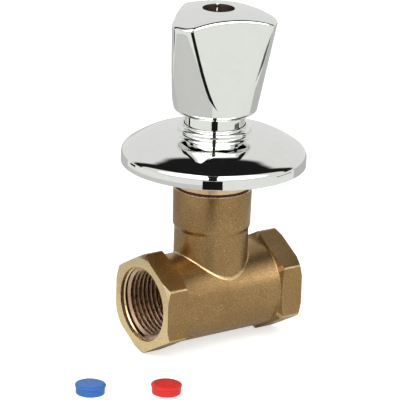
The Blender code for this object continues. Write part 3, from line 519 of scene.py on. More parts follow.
@dataclass(frozen=True)
class TurnedBrass(Finish):
    """Machined brass with fine tool rings about the pipe or the stem."""

    axis: Axis = Axis.STEM
    pitch: float = 0.16
    ring_depth: float = 0.004
    tarnish: float = 90.0
    smear: float = 700.0
    smear_share: float = 1.4

    def material(self) -> bpy.types.Material:
        """Make the machined surface's procedural material.

        Returns:
            The material.
        """
        made, nodes, shader, place = self.start()
        parts = nodes.add("ShaderNodeSeparateXYZ", {0: place})
        names = ("X", "Y", "Z") if self.axis is Axis.STEM else ("Y", "Z", "X")
        first, second, along = (parts.outputs[name] for name in names)
        squares = nodes.math("ADD", nodes.math("MULTIPLY", first, first),
                             nodes.math("MULTIPLY", second, second))
        travel = nodes.math("ADD", nodes.math("SQRT", squares), along)
        ring = nodes.math("SINE", nodes.math("MULTIPLY", travel, 2 * math.pi / (self.pitch * MM)))
        cloud = nodes.remap(nodes.noise(place, self.tarnish, 4.0), 0.35, 0.65)
        nodes.fill(shader.inputs["Base Color"], nodes.mix(cloud, self.dark, self.colour))
        smear = nodes.noise(place, self.smear, 3.0)
        rough = nodes.remap(smear, 0.3, 0.7, self.roughness * (1 - self.spread),
                            self.roughness * (1 + self.spread))
        nodes.fill(shader.inputs["Roughness"], rough)
        nodes.bump(nodes.math("ADD", ring, nodes.math("MULTIPLY", smear, self.smear_share)),
                   self.ring_depth * MM, 1.0, shader.inputs["Normal"])
        return made


@dataclass
class Finishes:
    """All finishes of the valve, made once."""

    chrome: bpy.types.Material = field(default_factory=Chrome(
        "bright_chrome", (0.850, 0.860, 0.842), (0.830, 0.840, 0.822), 0.030, 1.0, spread=0.5).material)
    blasted: bpy.types.Material = field(default_factory=BlastedBrass(
        "blasted_brass", (0.405, 0.258, 0.113), (0.330, 0.204, 0.086), 0.33, 1.0, grain=2900.0,
        grain_depth=0.016, spread=0.2).material)
    # Lighter brass for rubbed hexagon corners, which is wear, and for the neck fillet's middle, which is a
    # painted highlight line.
    worn_and_highlit_brass: bpy.types.Material = field(default_factory=BlastedBrass(
        "worn_and_highlit_brass", (0.74, 0.55, 0.30), (0.62, 0.44, 0.22), 0.30, 1.0, grain=2900.0,
        grain_depth=0.010, spread=0.2).material)
    port_brass: bpy.types.Material = field(default_factory=TurnedBrass(
        "port_brass", (0.84, 0.66, 0.38), (0.76, 0.58, 0.32), 0.27, 1.0, spread=0.25,
        axis=Axis.PIPE, pitch=0.32, ring_depth=0.0015).material)
    thread_brass: bpy.types.Material = field(default_factory=TurnedBrass(
        "thread_brass", (0.62, 0.44, 0.31), (0.52, 0.35, 0.24), 0.32, 1.0, spread=0.25,
        axis=Axis.PIPE, pitch=0.40, ring_depth=0.0006).material)
    # Near-black brass for the port bore wall behind the thread: painted shade in the thread roots.
    root_shade_brass: bpy.types.Material = field(default_factory=TurnedBrass(
        "thread_root_painted_shade", (0.10, 0.036, 0.030), (0.06, 0.020, 0.018), 0.42, 1.0, spread=0.2,
        axis=Axis.PIPE, pitch=0.40, ring_depth=0.0006).material)
    stem_brass: bpy.types.Material = field(default_factory=TurnedBrass(
        "stem_brass", (0.76, 0.57, 0.33), (0.68, 0.49, 0.27), 0.24, 1.0, spread=0.25).material)
    fibre: bpy.types.Material = field(default_factory=Finish(
        "red_fibre", (0.13, 0.018, 0.014), (0.07, 0.010, 0.010), 0.75, grain=1600.0,
        grain_depth=0.02).material)
    rubber: bpy.types.Material = field(default_factory=Finish(
        "black_rubber", (0.022, 0.022, 0.023), (0.014, 0.014, 0.015), 0.55, grain=1500.0,
        grain_depth=0.008).material)
    screw_brass: bpy.types.Material = field(default_factory=TurnedBrass(
        "screw_brass", (0.92, 0.80, 0.70), (0.86, 0.73, 0.63), 0.55, 1.0, spread=0.25).material)
    # Near-black finish for the handle's index hole: painted shade in the hole.
    recess: bpy.types.Material = field(default_factory=Finish(
        "recess_painted_shade", (0.050, 0.036, 0.030), (0.032, 0.023, 0.020), 0.42, 0.6, grain=900.0,
        grain_depth=0.006).material)
    steel: bpy.types.Material = field(default_factory=Finish(
        "spring_steel", (0.50, 0.50, 0.50), (0.42, 0.42, 0.43), 0.28, 1.0, grain=1500.0,
        grain_depth=0.003).material)
    nylon: bpy.types.Material = field(default_factory=Finish(
        "white_nylon", (0.80, 0.79, 0.75), (0.74, 0.73, 0.69), 0.45, grain=900.0,
        grain_depth=0.004).material)
    blue: bpy.types.Material = field(default_factory=Finish(
        "blue_plastic", (0.030, 0.150, 0.470), (0.022, 0.115, 0.400), 0.42, grain=700.0,
        grain_depth=0.010, spread=0.15).material)
    red: bpy.types.Material = field(default_factory=Finish(
        "red_plastic", (0.700, 0.025, 0.022), (0.600, 0.016, 0.016), 0.42, grain=700.0,
        grain_depth=0.010, spread=0.15).material)


# Threads


class Side(Enum):
    """Which side of the wall a thread stands on."""

    OUTSIDE = 1
    INSIDE = -1


@dataclass
class Thread:
    """A screw thread as one ridge that winds round a wall, made by Geometry Nodes.

    Sizes are in millimetres. The ridge fades in and out at its ends.
    """

    name: str
    wall: float
    start: float
    length: float
    pitch: float
    height: float
    side: Side
    axis: Axis = Axis.STEM
    crest: float = 0.30
    root: float = 0.12
    sink: float = 0.06
    facets: int = 72
    fade: float = 0.6
    least_scale: float = 0.08

    def tree(self, material: bpy.types.Material) -> bpy.types.GeometryNodeTree:
        """Build the tree that winds the ridge.

        Args:
            material: The ridge's material.

        Returns:
            The tree, with its sizes as named inputs.
        """
        tree = bpy.data.node_groups.new(self.name + "_tree", "GeometryNodeTree")
        for name in ("Wall Radius", "Pitch", "Turns", "Ridge Height", "Foot Width", "Crest Width", "Sink",
                     "Fade"):
            tree.interface.new_socket(name, in_out="INPUT", socket_type="NodeSocketFloat")
        tree.interface.new_socket("Facets", in_out="INPUT", socket_type="NodeSocketInt")
        tree.interface.new_socket("Geometry", in_out="OUTPUT", socket_type="NodeSocketGeometry")
        nodes = Nodes(tree)
        sizes = nodes.add("NodeGroupInput").outputs
        line = nodes.add("GeometryNodeCurveSpiral", {
            "Resolution": sizes["Facets"], "Rotations": sizes["Turns"],
            "Start Radius": sizes["Wall Radius"], "End Radius": sizes["Wall Radius"],
            "Height": nodes.math("MULTIPLY", sizes["Pitch"], sizes["Turns"])})
        upright = nodes.add("GeometryNodeSetCurveNormal", {"Curve": line.outputs[0]}, mode="Z_UP")
        travel = nodes.add("GeometryNodeSplineParameter").outputs["Factor"]
        turned_so_far = nodes.math("MULTIPLY", travel, sizes["Turns"])
        left = nodes.math("SUBTRACT", sizes["Turns"], turned_so_far)
        nearest = nodes.math("MINIMUM", turned_so_far, left)
        share = nodes.math("DIVIDE", nearest, sizes["Fade"], clamp=True)
        scale = nodes.math("MAXIMUM", nodes.math("SQRT", share), self.least_scale)
        swell = nodes.add("GeometryNodeSetCurveRadius", {"Curve": upright.outputs[0], "Radius": scale})
        section = nodes.add("GeometryNodeCurvePrimitiveQuadrilateral", {
            "Top Width": sizes["Crest Width"], "Bottom Width": sizes["Foot Width"],
            "Height": sizes["Ridge Height"], "Offset": 0.0}, mode="TRAPEZOID")
        middle = nodes.math("SUBTRACT", nodes.math("MULTIPLY", sizes["Ridge Height"], 0.5), sizes["Sink"])
        place = nodes.add("ShaderNodeCombineXYZ", {"Y": middle})
        seat = nodes.add("GeometryNodeTransform", {
            "Geometry": section.outputs[0], "Translation": place.outputs[0]})
        turn = nodes.add("GeometryNodeTransform", {
            "Geometry": seat.outputs[0], "Rotation": (0.0, 0.0, math.radians(90 * self.side.value))})
        skin = nodes.add("GeometryNodeCurveToMesh", {
            "Curve": swell.outputs[0], "Profile Curve": turn.outputs[0], "Fill Caps": True})
        whole = nodes.add("GeometryNodeRealizeInstances", {"Geometry": skin.outputs[0]})
        coat = nodes.add("GeometryNodeSetMaterial", {"Geometry": whole.outputs[0], "Material": material})
        nodes.add("NodeGroupOutput", {0: coat.outputs[0]})
        return tree

    def build(self, material: bpy.types.Material) -> bpy.types.Object:
        """Wind the ridge.

        Args:
            material: The ridge's material.

        Returns:
            The ridge as a plain mesh in its place.
        """
        item = link_object(self.name, bpy.data.meshes.new(self.name))
        step = item.modifiers.new("thread", "NODES")
        step.node_group = self.tree(material)
        values = {
            "Wall Radius": self.wall * MM, "Pitch": self.pitch * MM,
            "Turns": self.length / self.pitch, "Ridge Height": (self.height + self.sink) * MM,
            "Foot Width": (self.pitch - self.root) * MM, "Crest Width": self.crest * MM,
            "Sink": self.sink * MM, "Fade": self.fade, "Facets": self.facets}
        for socket in step.node_group.interface.items_tree:
            if socket.in_out == "INPUT":
                step[socket.identifier] = values[socket.name]
        apply_modifiers(item)
        mesh = item.data
        if self.axis is Axis.PIPE:
            mesh.transform(Matrix.Rotation(math.radians(90), 4, "Y"))
            mesh.transform(Matrix.Translation((self.start * MM, 0.0, 0.0)))
        else:
            mesh.transform(Matrix.Translation((0.0, 0.0, self.start * MM)))
        outwards(mesh)
        shade(item, 40)
        spans = [math.hypot(vert.co.y, vert.co.z if self.axis is Axis.PIPE else vert.co.x)
                 for vert in mesh.vertices]
        LOG.info("%s radius %.2f to %.2f, %d faces", self.name, min(spans) / MM, max(spans) / MM,
                 len(mesh.polygons))
        return item


def outwards(mesh: bpy.types.Mesh) -> None:
    """Merge doubles and turn all faces outwards.

    Args:
        mesh: A closed mesh.
    """
    shape = bmesh.new()
    shape.from_mesh(mesh)
    bmesh.ops.remove_doubles(shape, verts=shape.verts, dist=1e-7)
    bmesh.ops.recalc_face_normals(shape, faces=shape.faces)
    if shape.calc_volume(signed=True) < 0:
        bmesh.ops.reverse_faces(shape, faces=shape.faces)
    shape.to_mesh(mesh)
    shape.free()


# Sub-assemblies


class Surface(Enum):
    """Surfaces of the valve body, numbered as its material slots."""

    BLASTED = 0
    MACHINED = 1
    ROOT = 2
    WORN_AND_HIGHLIT = 3


@dataclass
class ValveBody:
    """Pressed brass body with hexagonal ports, barrel and neck. Sizes in millimetres."""

    finishes: Finishes
    half_length: float = 29.5
    across_flats: float = 33.0
    hex_length: float = 8.5
    hex_slope: float = 0.58
    hex_foot: float = 0.55
    chamfer: float = 1.8
    barrel: float = 16.0
    neck_low: float = 13.4
    neck_high: float = 14.2
    neck_draft: float = 0.2
    neck_step: float = 24.8
    neck_rise: float = 1.3
    neck_top: float = 40.0
    bore: float = 13.22
    lead_in: float = 13.62
    lead_in_depth: float = 1.8
    bore_depth: float = 15.5
    runout: float = 1.1
    waterway: float = 10.0
    waterway_end: float = 13.2
    stem_bore: float = 11.6
    guide_bore: float = 10.8
    guide_top: float = 24.5
    bridge_top: float = 2.2
    bridge_bottom: float = -1.0
    seat: float = 7.5
    seat_edge: float = 8.9
    seat_foot: float = 9.2
    seat_top: float = 3.4
    chamber: float = 12.6
    chamber_reach: float = 14.3
    chamber_stop: float = 8.5
    thread_pitch: float = 1.814
    thread_height: float = 1.10
    inlet_gap: float = 0.35
    outlet_gap: float = 0.4
    wear: float = 0.55
    crease: float = 0.9
    steps: int = 128

    def build(self) -> None:
        """Build the body and the threads of both ports."""
        body = self.casting()
        self.hollow(body)
        self.cover(body)
        shade(body, 30)
        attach(body, Body.VALVE.value)
        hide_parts("valve_body")
        for name, start in (("inlet", -self.half_length + self.lead_in_depth + self.inlet_gap),
                            ("outlet", self.half_length - self.bore_depth - self.outlet_gap)):
            self.port_thread(name, start)
        LOG.info("valve body done")

    def port_thread(self, name: str, start: float) -> None:
        """Build one port's thread.

        Args:
            name: Name of the port.
            start: Where the thread starts along the pipe.
        """
        length = self.bore_depth - self.lead_in_depth + self.outlet_gap - self.inlet_gap
        thread = Thread(
            f"{name}_thread", wall=self.bore, start=start, length=length, pitch=self.thread_pitch,
            height=self.thread_height, side=Side.INSIDE, axis=Axis.PIPE, crest=0.34, root=0.20)
        ridge = thread.build(self.finishes.thread_brass)
        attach(ridge, Body.VALVE.value)

    def casting(self) -> bpy.types.Object:
        """Build the outer shape: hexagon bar, turned envelope and neck.

        Returns:
            The solid casting.
        """
        face = self.half_length
        hex_start = face - self.hex_length
        corner = self.across_flats / 2 / math.cos(math.radians(30))
        wide = corner + 0.3
        chamfer_rise = self.chamfer * math.tan(math.radians(30))
        half = [(corner - self.chamfer, face, 0.0),
                (wide, face - chamfer_rise * (wide - corner + self.chamfer) / self.chamfer, 0.0),
                (wide, hex_start + self.hex_slope, 0.0), (self.barrel, hex_start - self.hex_foot, 0.35)]
        other = [(radius, -height, rounding) for radius, height, rounding in reversed(half)]
        line = rounded([(0.0, face, 0.0)] + half + other + [(0.0, -face, 0.0)])
        body = turned("valve_casting", line, self.steps, Axis.PIPE)
        combine(body, self.hexagon(), "INTERSECT")
        neck = rounded([
            (0.0, self.neck_top, 0.0), (self.neck_high, self.neck_top, 0.45),
            (self.neck_high - self.neck_draft, self.neck_step + self.neck_rise, 0.5),
            (self.neck_low, self.neck_step, 0.3), (self.neck_low, 1.0, 0.0), (0.0, 1.0, 0.0)])
        combine(body, turned("neck", neck, self.steps), "UNION")
        combine(body, self.fillet(), "UNION")
        return body

    def hexagon(self) -> bpy.types.Object:
        """Build the hexagon bar with worn corners.

        Returns:
            The bar, a little longer than the body.
        """
        corner = self.across_flats / 2 / math.cos(math.radians(30))
        outline: list[Point] = []
        for side in range(6):
            angle = math.radians(90 + 60 * side)
            before, here, after = (
                (corner * math.cos(angle + turn), corner * math.sin(angle + turn))
                for turn in (-math.radians(60), 0.0, math.radians(60)))
            ends = []
            for other in (before, after):
                run = Vector(other) - Vector(here)
                ends.append(tuple(Vector(here) + run.normalized() * self.wear))
            outline += bend(ends[0], here, ends[1], 4)
        reach = self.half_length + 1
        rings = [[Vector((x, y, z)) for y, z in outline] for x in (-reach, reach)]
        return loft("hexagon", rings, closed=False)

    def fillet(self) -> bpy.types.Object:
        """Build the ring that rounds the line where the neck leaves the barrel.

        Returns:
            The ring, sunk into neck and barrel.
        """
        bury, depth, graze = 0.6, 0.8, 0.02
        rings = []
        for index in range(self.steps):
            turn = 2 * math.pi * index / self.steps
            along, across = math.cos(turn), math.sin(turn)
            reach = self.neck_low + self.crease
            corner, foot = (math.sqrt(self.barrel ** 2 - (radius * across) ** 2)
                            for radius in (self.neck_low, reach))
            top = corner + self.crease
            curve = bend((-graze, top), (0.0, corner), (self.crease, foot - graze), 6)
            section = [(-bury, top)] + curve + [(self.crease, foot - depth), (-bury, corner - depth)]
            rings.append([Vector(((self.neck_low + out) * along, (self.neck_low + out) * across, rise))
                          for out, rise in section])
        return loft("neck_fillet", rings, closed=True)

    def hollow(self, body: bpy.types.Object) -> None:
        """Cut the stem bore, the seat and both ports.

        Args:
            body: The solid casting.
        """
        mouth_top = self.neck_top + 1.0
        stem = [
            (0.0, mouth_top), (self.stem_bore + 1.4, mouth_top), (self.stem_bore, self.neck_top - 0.5),
            (self.stem_bore, self.guide_top + 0.5), (self.guide_bore, self.guide_top),
            (self.guide_bore, self.bridge_top), (self.seat_foot, self.bridge_top),
            (self.seat_edge, self.seat_top), (self.seat, self.seat_top),
            (self.seat, self.bridge_bottom - 1.0), (0.0, self.bridge_bottom - 1.0)]
        combine(body, turned("stem_bore", stem, self.steps), "DIFFERENCE")
        for name, start, end, low, high in (
                ("lower_chamber", -self.chamber_reach, self.chamber_stop, -self.barrel, self.bridge_bottom),
                ("upper_chamber", 0.0, self.chamber_reach, self.bridge_top, self.barrel)):
            line = [(0.0, start), (self.chamber, start), (self.chamber, end), (0.0, end)]
            chamber = turned(name, line, 64, Axis.PIPE)
            limit = [[Vector((x, y, z)) for x, y in ((-40, -40), (40, -40), (40, 40), (-40, 40))]
                     for z in (low, high)]
            combine(chamber, loft("limit", limit, closed=False), "INTERSECT")
            combine(body, chamber, "DIFFERENCE")
        face = self.half_length
        end = face - self.bore_depth
        port = rounded([
            (0.0, face + 2, 0.0), (self.lead_in, face + 2, 0.0),
            (self.lead_in, face - self.lead_in_depth + 0.4, 0.0),
            (self.bore, face - self.lead_in_depth, 0.0), (self.bore, end, 0.0),
            (self.waterway, end - self.runout, 0.0), (self.waterway, self.waterway_end, 0.0),
            (0.0, self.waterway_end, 0.0)])
        combine(body, turned("outlet_bore", port, self.steps, Axis.PIPE), "DIFFERENCE")
        mirrored = [(radius, -height) for radius, height in reversed(port)]
        combine(body, turned("inlet_bore", mirrored, self.steps, Axis.PIPE), "DIFFERENCE")

    def cover(self, body: bpy.types.Object) -> None:
        """Give each surface of the body its material.

        Args:
            body: The hollow body.
        """
        mesh = body.data
        mesh.materials.clear()
        for material in (self.finishes.blasted, self.finishes.port_brass, self.finishes.root_shade_brass,
                         self.finishes.worn_and_highlit_brass):
            mesh.materials.append(material)
        for polygon in mesh.polygons:
            polygon.material_index = self.surface(polygon.center / MM, polygon.normal).value

    def surface(self, centre: Vector, normal: Vector) -> Surface:
        """Tell which surface a face belongs to.

        Args:
            centre: The face's middle, in millimetres.
            normal: Its normal.

        Returns:
            The surface.
        """
        radius = math.hypot(centre.y, centre.z)
        stem_radius = math.hypot(centre.x, centre.y)
        depth = self.half_length - abs(centre.x)
        if depth < self.lead_in_depth + 0.1 and (abs(normal.x) > 0.35 or radius < self.lead_in + 0.1):
            return Surface.MACHINED
        # The port's bore wall behind the thread turns gets the near-black brass: painted shade in the thread
        # roots.
        if depth < self.bore_depth and radius < self.bore + 0.1:
            return Surface.ROOT
        in_stem_bore = stem_radius < 13.0 and centre.z > -2
        if radius < self.barrel - 1.0 or in_stem_bore or centre.z > self.neck_top - 0.3:
            return Surface.MACHINED
        return Surface.WORN_AND_HIGHLIT if self.on_worn_or_highlit_edge(centre, normal) else Surface.BLASTED

    def on_worn_or_highlit_edge(self, centre: Vector, normal: Vector) -> bool:
        """Tell whether a face lies on a rubbed hexagon corner or on the neck fillet's painted highlight.

        Args:
            centre: The face's middle, in millimetres.
            normal: Its normal.

        Returns:
            True on hexagon edges that handling and blasting leave brighter, and on the fillet's painted
            highlight.
        """
        radius = math.hypot(centre.y, centre.z)
        off_neck = math.hypot(centre.x, centre.y) - self.neck_low
        off_barrel = radius - self.barrel
        # The middle of the neck's fillet gets the lighter brass as a painted highlight line.
        if centre.z > 0 and all(0.03 < off < self.crease for off in (off_neck, off_barrel)):
            return abs(off_neck - off_barrel) < 0.3 * self.crease
        if abs(centre.x) < self.half_length - self.hex_length or radius < self.across_flats / 2 + 0.6:
            return False
        turn = math.degrees(math.atan2(normal.z, normal.y)) % 60
        on_corner = min(turn, 60 - turn) > 4.0 and abs(turn - 30) > 4.0
        return on_corner or abs(normal.x) > 0.2


@dataclass
class Headwork:
    """Headwork body with collar, wrench hexagon and threads. Sizes in millimetres."""

    finishes: Finishes
    bottom: float = 14.4
    foot: float = 10.5
    foot_top: float = 25.6
    base: float = 40.7
    collar: float = 13.7
    collar_height: float = 5.2
    wrench: float = 22.0
    wrench_height: float = 6.0
    sleeve_thread: float = 9.6
    shoulder: float = 58.8
    guide: float = 8.2
    top: float = 62.4
    neck_thread: float = 11.3
    plunger_bore: float = 7.7
    plunger_top: float = 23.75
    relief: float = 8.3
    relief_low: float = 24.4
    gland: float = 6.5
    gland_low: float = 45.1
    gland_high: float = 50.1
    stem: float = 4.3

    def build(self) -> None:
        """Build the headwork body and its threads over its CAD node."""
        collar_top = self.base + self.collar_height
        wrench_top = collar_top + self.wrench_height
        corner = self.wrench / 2 / math.cos(math.radians(30))
        sleeve_root, neck_root = self.sleeve_thread - 0.25, self.neck_thread - 0.6
        outside = [
            (self.guide, self.top, 0.5), (self.guide, self.shoulder + 0.6, 0.0),
            (sleeve_root, self.shoulder, 0.0), (sleeve_root, wrench_top, 0.0),
            (corner - 1.5, wrench_top, 0.0), (corner + 0.2, wrench_top - 1.0, 0.0),
            (corner + 0.2, collar_top, 0.0), (self.collar, collar_top, 0.5), (self.collar, self.base, 0.3),
            (neck_root, self.base, 0.0), (neck_root, self.base - 1.5, 0.0),
            (neck_root + 0.05, self.base - 2.1, 0.0), (neck_root + 0.05, self.foot_top + 0.6, 0.0),
            (self.foot, self.foot_top, 0.0), (self.foot, self.bottom, 0.2)]
        inside = [
            (self.plunger_bore, self.bottom, 0.0), (self.plunger_bore, self.plunger_top, 0.0),
            (self.relief, self.relief_low, 0.0), (self.relief, self.gland_low, 0.0),
            (self.gland, self.gland_low, 0.0), (self.gland, self.gland_high, 0.0),
            (self.stem, self.gland_high, 0.0), (self.stem, self.top, 0.0)]
        body = turned("headwork", rounded(outside + inside), 128)
        self.cut_wrench(body, corner, collar_top, wrench_top)
        dress(body, self.finishes.stem_brass)
        shade(body, 30)
        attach(body, Body.VALVE.value)
        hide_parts("bonnet")
        sizes = (("neck_thread", neck_root, self.foot_top + 0.8, 11.8, 1.5, 0.58),
                 ("sleeve_thread", sleeve_root, wrench_top + 0.4, 6.0, 1.0, 0.23))
        for name, wall, start, length, pitch, height in sizes:
            ridge = Thread(name, wall, start, length, pitch, height, Side.OUTSIDE,
                           crest=0.2).build(self.finishes.stem_brass)
            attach(ridge, Body.VALVE.value)
        LOG.info("headwork done")

    def cut_wrench(self, body: bpy.types.Object, corner: float, low: float, high: float) -> None:
        """Cut the six wrench flats.

        Args:
            body: The turned headwork.
            corner: Radius of the hexagon's corners.
            low: Height where the flats start.
            high: Height where they end.
        """
        bars = []
        for name, radius, sides, turn, span in (
                ("blank", 16.0, 48, 0.0, (low, high + 1)), ("bar", corner, 6, 30.0, (low - 1, high + 2))):
            outline = [(radius * math.cos(angle), radius * math.sin(angle)) for angle in
                       (math.radians(360 * index / sides + turn) for index in range(sides))]
            bars.append(loft(name, [[Vector((x, y, z)) for x, y in outline] for z in span], closed=False))
        blank, bar = bars
        combine(blank, bar, "DIFFERENCE")
        combine(body, blank, "DIFFERENCE")


@dataclass
class Rosette:
    """Chromed rosette with its rolled bead. Sizes in millimetres."""

    finishes: Finishes
    base: float = 49.0
    rim: float = 33.3
    band: float = 2.4
    wall: float = 0.9
    bore: float = 11.1
    bead: float = 1.15
    bead_outer: float = 13.2
    bead_middle: float = 61.73
    cove: float = 1.0
    plateau: float = 60.4
    lip_top: float = 63.6
    under_top: float = 58.9
    collar_low: float = 59.35
    groove: float = 12.2
    groove_low: float = 60.25
    groove_high: float = 61.85

    def build(self) -> None:
        """Build the rosette over its CAD node."""
        rosette = turned("rosette_shell", self.outside() + self.inside(), 240)
        shade(rosette, 30)
        dress(rosette, self.finishes.chrome)
        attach(rosette, Body.ROSETTE.value)
        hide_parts("escutcheon")
        LOG.info("rosette done")

    def outside(self) -> list[Point]:
        """Draw the shown line from the bore over bead and dome to the rim.

        Returns:
            Radius and height of its points.
        """
        lip = rounded([(self.bore, self.lip_top, 0.0), (self.bore + 0.4, self.lip_top, 0.15),
                       (self.bore + 0.45, self.bead_middle + self.bead + 0.02, 0.0)])
        bead = arc((self.bead_outer - self.bead, self.bead_middle), self.bead, 112, 0, 12)
        foot = arc((self.bead_outer + self.cove, self.plateau + self.cove), self.cove, 180, 264, 12)
        dome = smooth_line([
            (14.6, 60.36), (16.5, 60.20), (18.5, 59.99), (20.5, 59.72), (22.5, 59.36), (24.2, 58.92),
            (25.7, 58.34), (27.5, 57.42), (29.5, 56.22), (31.0, 55.25), (32.1, 54.45), (32.85, 53.62),
            (33.25, 52.6), (self.rim, 51.6)], 6)
        rim = rounded([(self.rim, self.base + self.band, 0.0), (self.rim, self.base, 0.25),
                       (self.rim - self.wall, self.base, 0.15)])
        return lip + bead + foot + dome + rim

    def inside(self) -> list[Point]:
        """Draw the hidden line from the rim's lower edge back to the bore.

        Returns:
            Radius and height of its points.
        """
        under = smooth_line([
            (32.4, 52.2), (31.9, 53.2), (30.6, 54.45), (28.9, 55.5), (27.0, 56.6), (25.0, 57.6),
            (23.0, 58.35), (20.5, 58.8), (16.0, self.under_top)], 3)
        neck = [(13.1, self.under_top), (13.1, self.collar_low), (self.bore, self.collar_low)]
        groove = [(self.bore, self.groove_low), (self.groove, self.groove_low),
                  (self.groove, self.groove_high), (self.bore, self.groove_high)]
        return under + neck + groove


@dataclass
class Sleeve:
    """Chromed sleeve between headwork and handle. Sizes in millimetres."""

    finishes: Finishes
    radius: float = 10.8
    wall: float = 0.9
    low: float = 52.2
    high: float = 74.7

    def build(self) -> None:
        """Build the sleeve over its CAD node."""
        inner = self.radius - self.wall
        sleeve = turned("sleeve_tube", rounded([
            (self.radius, self.high, 0.3), (self.radius, self.low, 0.3), (inner, self.low, 0.2),
            (inner, self.high, 0.2)]), 192)
        dress(sleeve, self.finishes.chrome)
        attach(sleeve, Body.VALVE.value)
        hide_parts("sleeve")
        LOG.info("sleeve done")


